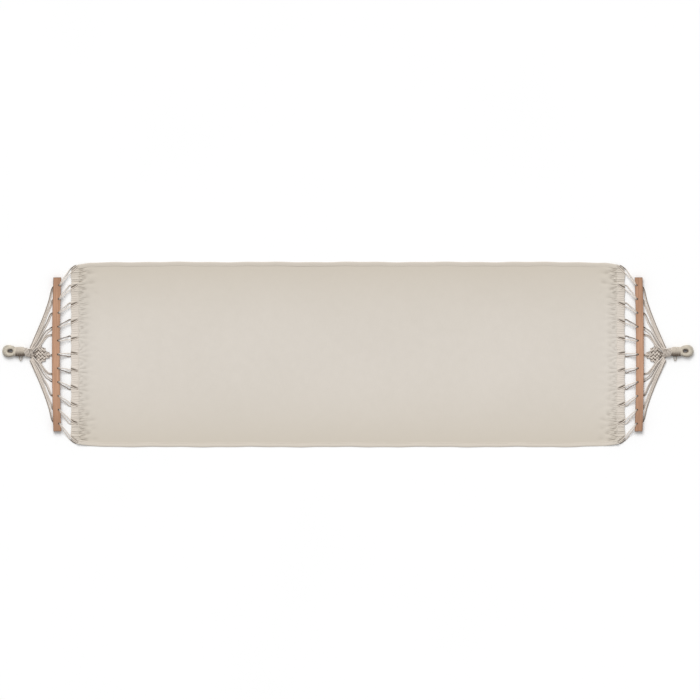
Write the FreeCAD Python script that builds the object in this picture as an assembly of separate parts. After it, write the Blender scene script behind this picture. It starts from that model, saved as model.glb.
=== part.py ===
"""A canvas hammock with a wooden spreader bar and a woven rope clew at each end, lying flat.

+X runs along the hammock, +Y across it and +Z up. The origin is on the ground under its middle.
Every piece of the left end is built once and mirrored to the right end.
"""

import FreeCAD, Part
import math
import os

V = FreeCAD.Vector
UP = V(0, 0, 1)
ALONG = V(1, 0, 0)

# Bed
BED_HALF_LENGTH = 1201.5
BED_HALF_WIDTH = 402.0
BED_CORNER_RADIUS = 58.0
CANVAS_THICKNESS = 2.0
SIDE_HEM_WIDTH = 18.0
SIDE_HEM_THICKNESS = 3.6
END_HEM_WIDTH = 35.5
END_HEM_BOTTOM = 4.6
END_HEM_THICKNESS = 3.4
END_RAMP_LENGTH = 66.0

# Spreader bar
BAR_WIDTH = 34.0
BAR_THICKNESS = 14.0
BAR_HALF_LENGTH = 334.0
BAR_CENTRE_X = -1260.0
BAR_BOW = 6.0
BAR_BOTTOM = 4.6
BAR_EDGE_RADIUS = 1.5
HOLE_RADIUS = 4.75
HOLE_X = -1250.0
HOLE_PITCH = 60.0
CORDS_EACH_SIDE = 5

# Cords, all of one size, laid double
CORD_DIAMETER = 4.2
LEG_OFFSET = 2.3
HEM_LEG_OFFSET = 6.0
LOW_CORD_Z = 2.2
FAN_SLOPE = 0.2
HEM_HINGE_X = -1212.0
HEM_HINGE_Z = 6.3
LOOP_REACH = 34.0
HEM_EDGE_REACH = 9.0
BAR_HINGE_X = -1286.0
BAR_HINGE_Z = 2.3
HINGE_ROOM = 3.3

# Clew, neck and hanging eye
CLEW_CENTRE_Y = 3.0
WEAVE_BOTTOM = 0.3
WEAVE_THICKNESS = 9.0
APEX_X = -1383.0
APEX_RADIUS = 9.5
KNUCKLE = V(-1397.0, 9.0, 12.3)
COLLAR_RADIUS = 12.0
COLLAR_HALF_LENGTH = 7.0
NECK_START_X = -1411.0
NECK_END_X = -1442.0
NECK_WIDTH = 42.0
NECK_HEIGHT = 26.0
NECK_CENTRE = V(0, 12.0, 13.2)
EYE_CENTRE = V(-1468.0, 14.0, 10.7)
EYE_BEND_RADIUS = 16.5
EYE_HALF_STRAIGHT = 5.0
EYE_TUBE_RADIUS = 10.5
EYE_CORE_RADIUS = 7.3
FIT_GAP = 0.2
TAIL_RADIUS = 1.7


def corner(before, point, after, radius):
    """The two tangent points and the middle of the arc that rounds a corner of a route."""
    back = (before - point).normalize()
    on = (after - point).normalize()
    half_turn = (math.pi - back.getAngle(on)) / 2
    reach = radius * math.tan(half_turn)
    middle = (back + on).normalize()
    centre = point + middle * (radius / math.cos(half_turn))
    return point + back * reach, centre - middle * radius, point + on * reach


def cord(points, radii, radius=CORD_DIAMETER / 2):
    """A round cord along straight runs joined by tangent arcs, one radius for each inner point."""
    edges = []
    start = points[0]
    for before, point, after, bend in zip(points, points[1:], points[2:], radii):
        first, middle, last = corner(before, point, after, bend)
        edges.append(Part.LineSegment(start, first).toShape())
        edges.append(Part.Arc(first, middle, last).toShape())
        start = last
    edges.append(Part.LineSegment(start, points[-1]).toShape())
    path = Part.Wire(edges)
    section = Part.Wire(Part.makeCircle(radius, points[0], points[1] - points[0]))
    tube = path.makePipeShell([section], True, False)
    expected = math.pi * radius**2 * path.Length
    if abs(tube.Volume / expected - 1) > 0.01:
        raise ValueError(f"a cord's volume is {tube.Volume:.0f}, and it should be {expected:.0f}")
    return tube


def bed_outline(low, high):
    """The left half of the bed's outline with its two rounded corners, between two heights."""
    block = Part.makeBox(
        BED_HALF_LENGTH, 2 * BED_HALF_WIDTH, high - low, V(-BED_HALF_LENGTH, -BED_HALF_WIDTH, low)
    )
    corners = [
        edge
        for edge in block.Edges
        if abs(edge.CenterOfMass.x + BED_HALF_LENGTH) < 0.1 and abs(edge.CenterOfMass.y) > 1
        and abs(edge.tangentAt(edge.FirstParameter).z) > 0.9
    ]
    return block.makeFillet(BED_CORNER_RADIUS, corners)


def bed_canvas():
    """The cloth: flat on the ground, and rising over the last stretch to the end hem."""
    hem_x = -BED_HALF_LENGTH + END_HEM_WIDTH
    ramp_x = hem_x + END_RAMP_LENGTH
    end_low = END_HEM_BOTTOM + (END_HEM_THICKNESS - CANVAS_THICKNESS) / 2
    profile = [
        V(0, -BED_HALF_WIDTH, 0),
        V(ramp_x, -BED_HALF_WIDTH, 0),
        V(hem_x, -BED_HALF_WIDTH, end_low),
        V(hem_x, -BED_HALF_WIDTH, end_low + CANVAS_THICKNESS),
        V(ramp_x, -BED_HALF_WIDTH, CANVAS_THICKNESS),
        V(0, -BED_HALF_WIDTH, CANVAS_THICKNESS),
    ]
    cloth = Part.Face(Part.makePolygon(profile + profile[:1])).extrude(V(0, 2 * BED_HALF_WIDTH, 0))
    cloth = cloth.common(bed_outline(-1, 20))
    for side in (-1, 1):
        cloth = cloth.cut(side_strip(side, -1, 20))
    return cloth


def side_strip(side, low, high):
    """The strip along one long edge that the side hem takes up."""
    length = BED_HALF_LENGTH - END_HEM_WIDTH - END_RAMP_LENGTH
    inner = BED_HALF_WIDTH - SIDE_HEM_WIDTH
    start_y = inner if side > 0 else -BED_HALF_WIDTH
    return Part.makeBox(length, SIDE_HEM_WIDTH, high - low, V(-length, start_y, low))


def fan_frame(number):
    """Where a cord crosses the hem's hinge line, its direction in plan and the cosine of its slant."""
    y = HOLE_PITCH * number + FAN_SLOPE * number * (HEM_HINGE_X - HOLE_X)
    slant = math.atan(FAN_SLOPE * number)
    return V(HEM_HINGE_X, y, 0), V(math.cos(slant), math.sin(slant), 0), math.cos(slant)


def end_hem():
    """The folded band across the bed's end, with one slit for each cord."""
    band = Part.makeBox(
        END_HEM_WIDTH,
        2 * BED_HALF_WIDTH,
        END_HEM_THICKNESS,
        V(-BED_HALF_LENGTH, -BED_HALF_WIDTH, END_HEM_BOTTOM),
    ).common(bed_outline(-1, 20))
    slit_length = 11.0
    slit_width = CORD_DIAMETER + 1.8
    for number in range(-CORDS_EACH_SIDE, CORDS_EACH_SIDE + 1):
        place, direction, cosine = fan_frame(number)
        slit = Part.makeBox(slit_length, slit_width, 20, V(LOOP_REACH / cosine - 4, -slit_width / 2, 0))
        slit.rotate(V(0, 0, 0), UP, math.degrees(math.atan2(direction.y, direction.x)))
        slit.translate(place)
        band = band.cut(slit)
    return band


def hem_loop(number):
    """One cord's bight, over the hem's outer strip, down through its slit and back underneath."""
    place, direction, cosine = fan_frame(number)
    across = UP.cross(direction)
    top = END_HEM_BOTTOM + END_HEM_THICKNESS + CORD_DIAMETER / 2 + 0.1
    start = (HINGE_ROOM + CORD_DIAMETER / 2 * abs(direction.y)) / cosine
    rise = HEM_EDGE_REACH / cosine
    shift = HEM_LEG_OFFSET * direction.y / cosine
    turn = LOOP_REACH / cosine + (top - LOW_CORD_Z) / 2
    stations = [
        (start - shift, -HEM_LEG_OFFSET, HEM_HINGE_Z),
        (rise - shift, -HEM_LEG_OFFSET, top),
        (turn, 0, top),
        (turn, 0, LOW_CORD_Z),
        (rise + shift, HEM_LEG_OFFSET, LOW_CORD_Z),
        (start + shift, HEM_LEG_OFFSET, HEM_HINGE_Z),
    ]
    points = [place + direction * x + across * y + UP * z for x, y, z in stations]
    bend = (top - LOW_CORD_Z) / 2 - 0.1
    return cord(points, [4.0, bend, bend, 4.0])


def hole_place(number):
    """Where a cord's hole lies in plan; the row follows the bar's outward bow."""
    y = HOLE_PITCH * number
    return V(HOLE_X - BAR_BOW * (1 - (y / BAR_HALF_LENGTH) ** 2), y, 0)


def spreader_bar():
    """The flat wooden bar, bowed a little outwards, with eased edges and its row of cord holes."""
    inner = BAR_CENTRE_X + BAR_WIDTH / 2
    outer = BAR_CENTRE_X - BAR_WIDTH / 2
    half = BAR_HALF_LENGTH
    corners = [V(x, y, BAR_BOTTOM) for x, y in ((inner, -half), (inner, half), (outer, half), (outer, -half))]
    plan = Part.Wire([
        Part.Arc(corners[0], V(inner - BAR_BOW, 0, BAR_BOTTOM), corners[1]).toShape(),
        Part.makeLine(corners[1], corners[2]),
        Part.Arc(corners[2], V(outer - BAR_BOW, 0, BAR_BOTTOM), corners[3]).toShape(),
        Part.makeLine(corners[3], corners[0]),
    ])
    bar = Part.Face(plan).extrude(UP * BAR_THICKNESS)
    bar = bar.makeFillet(BAR_EDGE_RADIUS, bar.Edges)
    for number in range(-CORDS_EACH_SIDE, CORDS_EACH_SIDE + 1):
        bar = bar.cut(Part.makeCylinder(HOLE_RADIUS, 40, hole_place(number) - UP * 10))
    return bar


def bar_leg(number, side):
    """One leg of a cord from the hem over the bar's inner half, down its hole and out below."""
    place, direction, cosine = fan_frame(number)
    hole = hole_place(number)
    offset = UP.cross(direction) * LEG_OFFSET * side
    high = BAR_BOTTOM + BAR_THICKNESS + CORD_DIAMETER / 2 + 0.2
    edge_reach = (BAR_CENTRE_X + BAR_WIDTH / 2 + 6 - HOLE_X) / cosine
    outer = clew_run(number, side)[0]
    points = [
        place + V(0, HEM_LEG_OFFSET * side / cosine, HEM_HINGE_Z),
        hole + direction * edge_reach + offset + UP * high,
        hole + offset + UP * high,
        hole + offset + UP * LOW_CORD_Z,
        V(BAR_HINGE_X + HINGE_ROOM, outer.y, LOW_CORD_Z),
    ]
    return cord(points, [10.0, 4.0, 4.0])


# The plan of each doubled cord between the bar and the weave, counted out from the middle one:
# how far from the middle it leaves the bar, then a middle point and the end in the weave, each as X
# and distance from the clew's middle line.
CLEW_ROUTES = (
    (0.0, (-1294.0, 0.3), (-1304.0, 0.0)),
    (65.0, (-1307.0, 60.0), (-1322.0, 22.0)),
    (113.0, (-1311.0, 96.0), (-1335.0, 24.0)),
    (170.0, (-1309.0, 137.0), (-1349.0, 19.0)),
    (226.0, (-1322.0, 146.0), (-1363.0, 13.5)),
    (276.0, (-1330.0, 172.0), (-1377.0, 8.0)),
)


def clew_run(number, side):
    """The three points of one leg from the bar's outer edge to the weave, beside its twin."""
    exit_y, middle, end = CLEW_ROUTES[abs(number)]
    outward = 1 if number >= 0 else -1
    low, high = BAR_HINGE_Z, WEAVE_BOTTOM + WEAVE_THICKNESS / 2
    points = [
        V(BAR_HINGE_X, outward * exit_y, low),
        V(middle[0], CLEW_CENTRE_Y + outward * middle[1], low + 0.6),
        V(end[0], CLEW_CENTRE_Y + outward * end[1], high),
    ]
    runs = [(after - before).normalize() for before, after in zip(points, points[1:])]
    start_y = LEG_OFFSET * side / abs(runs[0].x)
    mean = (runs[0] + runs[1]) / 2
    return [
        points[0] + V(0, start_y, 0),
        points[1] + V(mean.y, -mean.x, 0) * (LEG_OFFSET * side / mean.Length**2),
        points[2] + V(runs[1].y, -runs[1].x, 0) * LEG_OFFSET * side,
    ]


def clew_leg(number, side):
    """One leg of a cord from the bar's outer edge to the weave."""
    points = clew_run(number, side)
    first = points[1] - points[0]
    second = points[2] - points[1]
    half_turn = first.getAngle(second) / 2
    return cord(points, [0.45 * min(first.Length, second.Length) / math.tan(half_turn)])


def clew_weave():
    """The woven triangle of cords, gathered to a round bundle at its outer end."""
    plan = [(APEX_X + 4, 8), (-1340, 35), (-1326, 33), (-1298, 4)]
    outline = [V(x, CLEW_CENTRE_Y + y, WEAVE_BOTTOM) for x, y in plan]
    outline += [V(x, CLEW_CENTRE_Y - y, WEAVE_BOTTOM) for x, y in reversed(plan)]
    flat = Part.Face(Part.makePolygon(outline + outline[:1])).extrude(UP * WEAVE_THICKNESS)
    apex = V(APEX_X, KNUCKLE.y - 2, KNUCKLE.z - 1)
    tail = V(-1345, CLEW_CENTRE_Y, WEAVE_BOTTOM + 4.6)
    bundle = Part.makeCone(APEX_RADIUS, 4.0, (tail - apex).Length, apex, tail - apex)
    room = Part.makeBox(200, 200, 100, V(APEX_X, -100, -10))
    return flat.fuse(bundle).common(room).removeSplitter()


def collar():
    """The short barrel of cord turns that ties the clew to the neck."""
    ball = Part.makeSphere(COLLAR_RADIUS, KNUCKLE)
    size = 4 * COLLAR_RADIUS
    slab = Part.makeBox(
        2 * COLLAR_HALF_LENGTH, size, size, KNUCKLE - V(COLLAR_HALF_LENGTH, size / 2, size / 2)
    )
    return ball.common(slab)


def oval(x, width, height):
    """An upright oval section of the neck."""
    ellipse = Part.Ellipse(V(x, NECK_CENTRE.y, NECK_CENTRE.z), width / 2, height / 2)
    ellipse.Axis = ALONG
    ellipse.XAxis = V(0, 1, 0)
    return Part.Wire(ellipse.toShape())


def eye_ring(radius):
    """A closed oval ring of round section around the hanging eye."""
    far = EYE_CENTRE - ALONG * EYE_HALF_STRAIGHT
    near = EYE_CENTRE + ALONG * EYE_HALF_STRAIGHT
    side = V(0, EYE_BEND_RADIUS, 0)
    path = Part.Wire(
        [
            Part.LineSegment(far + side, near + side).toShape(),
            Part.Arc(near + side, near + ALONG * EYE_BEND_RADIUS, near - side).toShape(),
            Part.LineSegment(near - side, far - side).toShape(),
            Part.Arc(far - side, far - ALONG * EYE_BEND_RADIUS, far + side).toShape(),
        ]
    )
    section = Part.Wire(Part.makeCircle(radius, far + side, ALONG))
    return path.makePipeShell([section], True, False)


def eye_serving():
    """The sheath of cord turns round the eye's core."""
    return eye_ring(EYE_TUBE_RADIUS).cut(eye_ring(EYE_CORE_RADIUS + FIT_GAP))


def neck_whipping():
    """The tightly wrapped neck, hollowed to sit against the eye."""
    shoulder = NECK_START_X - 5
    neck = Part.makeLoft(
        [
            oval(NECK_START_X, NECK_WIDTH - 10, NECK_HEIGHT - 4),
            oval(shoulder, NECK_WIDTH, NECK_HEIGHT),
            oval(NECK_END_X, NECK_WIDTH, NECK_HEIGHT),
        ],
        True,
        True,
    )
    return max(neck.cut(eye_ring(EYE_TUBE_RADIUS + FIT_GAP)).Solids, key=lambda solid: solid.Volume)


def whipping_tail():
    """The small bight of cord that the whipping was drawn tight with, standing out of its side."""
    x, z = -1423.0, 8.0
    root_y = NECK_CENTRE.y - NECK_WIDTH / 2 + 3
    tip_y = -26.0
    width = 8.0
    points = [V(x, root_y, z), V(x, tip_y, z), V(x + width, tip_y, z), V(x + width, root_y, z)]
    return cord(points, [3.8, 3.8], TAIL_RADIUS)


def left_end():
    """Every piece of the left end and the left half of the bed, by name."""
    numbers = range(-CORDS_EACH_SIDE, CORDS_EACH_SIDE + 1)
    pieces = {
        "bed_canvas": bed_canvas(),
        "side_hem_front": side_strip(-1, 0, SIDE_HEM_THICKNESS),
        "side_hem_back": side_strip(1, 0, SIDE_HEM_THICKNESS),
        "end_hem": end_hem(),
        "hem_loops": Part.makeCompound([hem_loop(number) for number in numbers]),
        "spreader_bar": spreader_bar(),
        "bar_lacing": Part.makeCompound([bar_leg(n, side) for n in numbers for side in (-1, 1)]),
        "clew_weave": clew_weave(),
        "collar": collar(),
        "neck_whipping": neck_whipping(),
        "eye_core": eye_ring(EYE_CORE_RADIUS),
        "eye_serving": eye_serving(),
        "whipping_tail": whipping_tail(),
    }
    for number in numbers:
        legs = [clew_leg(number, side) for side in (-1, 1)]
        pieces[f"clew_cord_{number + CORDS_EACH_SIDE + 1:02d}"] = Part.makeCompound(legs)
    return pieces


def main():
    os.makedirs("parts", exist_ok=True)
    for name, shape in left_end().items():
        if not shape.isValid():
            raise ValueError(f"{name} is not a valid shape")
        for end, placed in (("left", shape), ("right", shape.mirror(V(0, 0, 0), ALONG))):
            placed.exportStep(f"parts/{name}_{end}.step")
            print(name, end, len(placed.Solids), round(placed.Volume), placed.BoundBox)


main()
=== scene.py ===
"""Looks of a canvas hammock with a wooden spreader bar and a woven cord clew at each end.

Lengths are given in millimetres and turned to metres as meshes are made. Places at either end are
written as (out, across, up): out is the distance from the middle of the bed towards that end.
"""

import logging
import math
from collections.abc import Callable
from dataclasses import dataclass, field
from enum import Enum

import bpy
import numpy as np
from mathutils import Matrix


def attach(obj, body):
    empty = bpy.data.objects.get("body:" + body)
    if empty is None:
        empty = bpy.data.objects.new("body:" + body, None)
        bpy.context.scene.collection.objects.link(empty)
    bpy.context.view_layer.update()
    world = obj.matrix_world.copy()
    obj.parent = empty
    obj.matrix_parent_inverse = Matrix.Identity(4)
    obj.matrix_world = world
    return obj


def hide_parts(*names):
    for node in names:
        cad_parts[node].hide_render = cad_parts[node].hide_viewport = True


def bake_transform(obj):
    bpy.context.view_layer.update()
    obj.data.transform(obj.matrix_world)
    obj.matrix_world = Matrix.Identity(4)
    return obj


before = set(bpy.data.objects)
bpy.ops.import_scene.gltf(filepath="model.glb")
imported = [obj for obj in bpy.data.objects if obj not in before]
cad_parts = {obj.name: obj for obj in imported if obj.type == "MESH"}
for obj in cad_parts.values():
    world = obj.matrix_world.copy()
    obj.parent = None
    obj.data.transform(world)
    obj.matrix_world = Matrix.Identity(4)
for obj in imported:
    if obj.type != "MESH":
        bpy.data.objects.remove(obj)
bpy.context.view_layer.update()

MM = 0.001
TAU = 2 * math.pi
LOG = logging.getLogger("hammock")
Point = tuple[float, float, float]
Socket = bpy.types.NodeSocket
Colour = tuple[float, float, float, float]
FLOAT = "NodeSocketFloat"
VECTOR = "NodeSocketVector"
CURVE_STEPS = 16
NEARLY_UPRIGHT = 0.9
BEYOND_REACH = 1e9
# How far a cord's surface faces its open side where it comes out of its own shade, and where it
# takes on its line's darkness.
LIT_FACING = (-0.2, 0.85)
SHADED_FACING = (-0.6, 0.1)


class End(Enum):
    """One end of the hammock."""

    LEFT = "left"
    RIGHT = "right"

    @property
    def sign(self) -> float:
        """Which way this end lies along X."""
        return -1.0 if self is End.LEFT else 1.0

    def place(self, points: np.ndarray) -> np.ndarray:
        """Turns (out, across, up) into X, Y, Z at this end."""
        return np.asarray(points, float) * (self.sign, 1.0, 1.0)


# ---------------------------------------------------------------- lines


def spaced(line: np.ndarray, step: float) -> np.ndarray:
    """Evenly spaced points along a polyline.

    Args:
        line: Its corners, one row each.
        step: The distance between the new points.

    Returns:
        The new points, both ends among them.
    """
    along = np.concatenate([[0.0], np.cumsum(np.linalg.norm(np.diff(line, axis=0), axis=1))])
    count = max(4, int(round(along[-1] / step)) + 1)
    at = np.linspace(0.0, along[-1], count)
    return np.stack([np.interp(at, along, line[:, axis]) for axis in range(3)], axis=1)


def smooth(points: list[Point] | np.ndarray, step: float, closed: bool = False) -> np.ndarray:
    """A soft curve through given points, as a cord takes.

    Args:
        points: The points that it passes through.
        step: The distance between the points returned.
        closed: Whether the curve joins its own start.

    Returns:
        Points along the curve.
    """
    knots = np.asarray(points, float)
    if closed:
        knots = np.concatenate([knots[-1:], knots, knots[:2]])
    else:
        knots = np.concatenate([2 * knots[:1] - knots[1:2], knots, 2 * knots[-1:] - knots[-2:-1]])
    pieces = []
    for p0, p1, p2, p3 in zip(knots, knots[1:], knots[2:], knots[3:]):
        t = np.linspace(0.0, 1.0, CURVE_STEPS + 1)[:-1, None]
        pieces.append(
            0.5
            * (
                2 * p1
                + (p2 - p0) * t
                + (2 * p0 - 5 * p1 + 4 * p2 - p3) * t**2
                + (3 * p1 - p0 - 3 * p2 + p3) * t**3
            )
        )
    pieces.append(knots[-2:-1])
    return spaced(np.concatenate(pieces), step)


def smoothstep(value: np.ndarray | float, low: float, high: float) -> np.ndarray:
    """0 below low, 1 above high, and an even ease between."""
    t = np.clip((np.asarray(value, float) - low) / (high - low), 0.0, 1.0)
    return t * t * (3 - 2 * t)


def frames_along(line: np.ndarray) -> tuple[np.ndarray, np.ndarray]:
    """Two directions across a line at each of its points, carried along without twisting.

    Args:
        line: Points along the line.

    Returns:
        The first and the second direction at each point.
    """
    tangent = np.gradient(line, axis=0)
    tangent /= np.linalg.norm(tangent, axis=1, keepdims=True)
    first = np.zeros_like(line)
    upright = abs(tangent[0, 2]) >= NEARLY_UPRIGHT
    seed = np.array([0.0, 1.0, 0.0]) if upright else np.array([0.0, 0.0, 1.0])
    for i, direction in enumerate(tangent):
        seed = seed - direction * (seed @ direction)
        seed /= np.linalg.norm(seed)
        first[i] = seed
    return first, np.cross(tangent, first)


def directions_around(line: np.ndarray, count: int) -> tuple[np.ndarray, np.ndarray]:
    """Directions that stand off a line all round, for the rings of a tube.

    Args:
        line: Points along the line.
        count: How many directions there are at each point.

    Returns:
        Their angles, and the directions by point and angle.
    """
    first, second = frames_along(line)
    angle = TAU * np.arange(count) / count
    one_way = np.cos(angle)[None, :, None] * first[:, None]
    return angle, one_way + np.sin(angle)[None, :, None] * second[:, None]


def oval_outward(line: np.ndarray, centre: Point, half_width: float, half_height: float) -> np.ndarray:
    """The outward direction at each point of turns wound round an oval that lies along X.

    Args:
        line: Points along the turns.
        centre: A point on the oval's middle line.
        half_width: Half the oval's width.
        half_height: Half its height.

    Returns:
        A direction of length 1 for each point.
    """
    outward = (line - centre) / (BEYOND_REACH, half_width**2, half_height**2)
    outward /= np.linalg.norm(outward, axis=1, keepdims=True)
    return outward


# ---------------------------------------------------------------- meshes


@dataclass
class MeshMaker:
    """Gathers corners, faces and UVs in millimetres, and makes one object of them."""

    points: list[np.ndarray] = field(default_factory=list)
    faces: list[tuple[int, ...]] = field(default_factory=list)
    uvs: list[tuple[float, float]] = field(default_factory=list)
    shades: list[np.ndarray] = field(default_factory=list)
    count: int = 0

    def add_points(self, points: np.ndarray, shade: np.ndarray | float = 0.0) -> int:
        """Adds corners.

        Args:
            points: The corners, one row each.
            shade: How much painted shade each carries, from 0 to 1.

        Returns:
            The index of the first.
        """
        start = self.count
        self.points.append(np.asarray(points, float))
        self.shades.append(np.broadcast_to(np.asarray(shade, float), (len(points),)))
        self.count += len(points)
        return start

    def add_face(self, corners: tuple[int, ...], uvs: tuple[tuple[float, float], ...]) -> None:
        """Adds one face with a UV for each of its corners."""
        self.faces.append(corners)
        self.uvs.extend(uvs)

    def add_rings(
        self,
        rings: np.ndarray,
        distance: np.ndarray,
        closed: bool = False,
        shade: np.ndarray | float = 0.0,
    ) -> None:
        """Joins rings of points into a tube.

        Args:
            rings: An array of ring, point in ring and coordinate.
            distance: How far along the tube each ring is, for the UVs.
            closed: Whether the last ring joins the first; otherwise both ends are capped.
            shade: How much painted shade each point carries, by ring and point in ring.
        """
        count, size = rings.shape[:2]
        shades = np.broadcast_to(np.asarray(shade, float), (count, size))
        start = self.add_points(rings.reshape(-1, 3), shades.reshape(-1))
        spans = count if closed else count - 1
        pitch = distance[1] - distance[0]
        for i in range(spans):
            j = (i + 1) % count
            v0, v1 = float(distance[i]), float(distance[i] + pitch)
            for k in range(size):
                m = (k + 1) % size
                u0, u1 = k / size, (k + 1) / size
                near, far = start + i * size, start + j * size
                corners = (near + k, near + m, far + m, far + k)
                self.add_face(corners, ((u0, v0), (u1, v0), (u1, v1), (u0, v1)))
        if not closed:
            self.add_cap(start, size, rings[0], float(distance[0]), True)
            self.add_cap(start + (count - 1) * size, size, rings[-1], float(distance[-1]), False)

    def add_cap(self, start: int, size: int, ring: np.ndarray, distance: float, flip: bool) -> None:
        """Closes one end of a tube with a fan.

        Args:
            start: The index of the end ring's first corner.
            size: How many corners the ring has.
            ring: The ring's points.
            distance: How far along the tube it is, for the UVs.
            flip: Turns the faces over.
        """
        centre = self.add_points(ring.mean(axis=0)[None])
        for k in range(size):
            pair = (start + k, start + (k + 1) % size)
            corners = (centre, pair[1], pair[0]) if flip else (centre, pair[0], pair[1])
            self.add_face(corners, ((0.5, distance),) * 3)

    def add_grid(self, grid: np.ndarray, flip: bool, shade: np.ndarray | float = 0.0) -> None:
        """Joins a grid of points into a surface.

        Args:
            grid: An array of row, column and coordinate.
            flip: Turns the faces over.
            shade: How much painted shade each point carries, by row and column.
        """
        rows, columns = grid.shape[:2]
        shades = np.broadcast_to(np.asarray(shade, float), (rows, columns))
        start = self.add_points(grid.reshape(-1, 3), shades.reshape(-1))
        flat = grid.reshape(-1, 3)
        for i in range(rows - 1):
            for k in range(columns - 1):
                m = k + 1
                cell = (i * columns + k, i * columns + m, (i + 1) * columns + m, (i + 1) * columns + k)
                cell = cell[::-1] if flip else cell
                uvs = tuple((flat[c, 0] * MM, flat[c, 1] * MM) for c in cell)
                self.add_face(tuple(start + c for c in cell), uvs)

    def make(self, name: str, material: bpy.types.Material) -> bpy.types.Object:
        """Makes the object.

        Args:
            name: Its name.
            material: Its material.

        Returns:
            The new object, linked to the scene.
        """
        mesh = bpy.data.meshes.new(name)
        mesh.from_pydata((np.concatenate(self.points) * MM).tolist(), [], self.faces)
        layer = mesh.uv_layers.new(name="UVMap")
        layer.data.foreach_set("uv", np.asarray(self.uvs, np.float32).ravel())
        # Each point's painted shade, which the materials mix towards a dark colour.
        painted_shade = mesh.attributes.new("painted_shade", "FLOAT", "POINT")
        painted_shade.data.foreach_set("value", np.clip(np.concatenate(self.shades), 0, 1).astype(np.float32))
        mesh.polygons.foreach_set("use_smooth", [True] * len(mesh.polygons))
        mesh.materials.append(material)
        mesh.update()
        made = bpy.data.objects.new(name, mesh)
        bpy.context.scene.collection.objects.link(made)
        return made


@dataclass(frozen=True)
class CordStock:
    """A laid cord of one thickness: its strands show as lobes that wind round it."""

    diameter: float
    strands: int = 3
    lay_length: float = 13.0
    depth: float = 0.24
    ring: int = 15
    step: float = 1.8
    side_shade: float = 0.34
    valley_shade: float = 0.5

    def lay_along(
        self,
        maker: MeshMaker,
        line: np.ndarray,
        closed: bool = False,
        start: float = 0.0,
        outward: np.ndarray | None = None,
        shade: np.ndarray | float = 0.0,
    ) -> None:
        """Adds a stretch of this cord.

        Args:
            maker: The mesh that it goes into.
            line: Points along its middle, in millimetres.
            closed: Whether it joins its own start.
            start: The turn that the strands start at, in whole turns.
            outward: The way its open side faces at each point; straight up if not given.
            shade: How dark its open side is along its line besides, from 0 to 1.
        """
        steps = np.linalg.norm(np.diff(line, axis=0), axis=1)
        distance = np.concatenate([[0.0], np.cumsum(steps)])
        angle, around = directions_around(line, self.ring)
        wind = TAU * (start + distance / self.lay_length)
        lobe = np.abs(np.cos(self.strands / 2 * (angle[None] - wind[:, None])))
        radius = self.diameter / 2 * (1 - self.depth * (1 - lobe) ** 1.5)
        open_side = np.array([[0.0, 0.0, 1.0]]) if outward is None else outward
        facing = np.einsum("ijk,ik->ij", around, np.broadcast_to(open_side, line.shape))
        in_shade = self.side_shade * (1 - smoothstep(facing, *LIT_FACING))
        dark = in_shade + self.valley_shade * (1 - lobe) ** 2
        beside = np.broadcast_to(np.asarray(shade, float), (len(line),))
        dark = dark + beside[:, None] * smoothstep(facing, *SHADED_FACING)
        rings = line[:, None] + radius[:, :, None] * around
        maker.add_rings(rings, distance / self.lay_length, closed, dark)


# ---------------------------------------------------------------- shader groups


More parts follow.
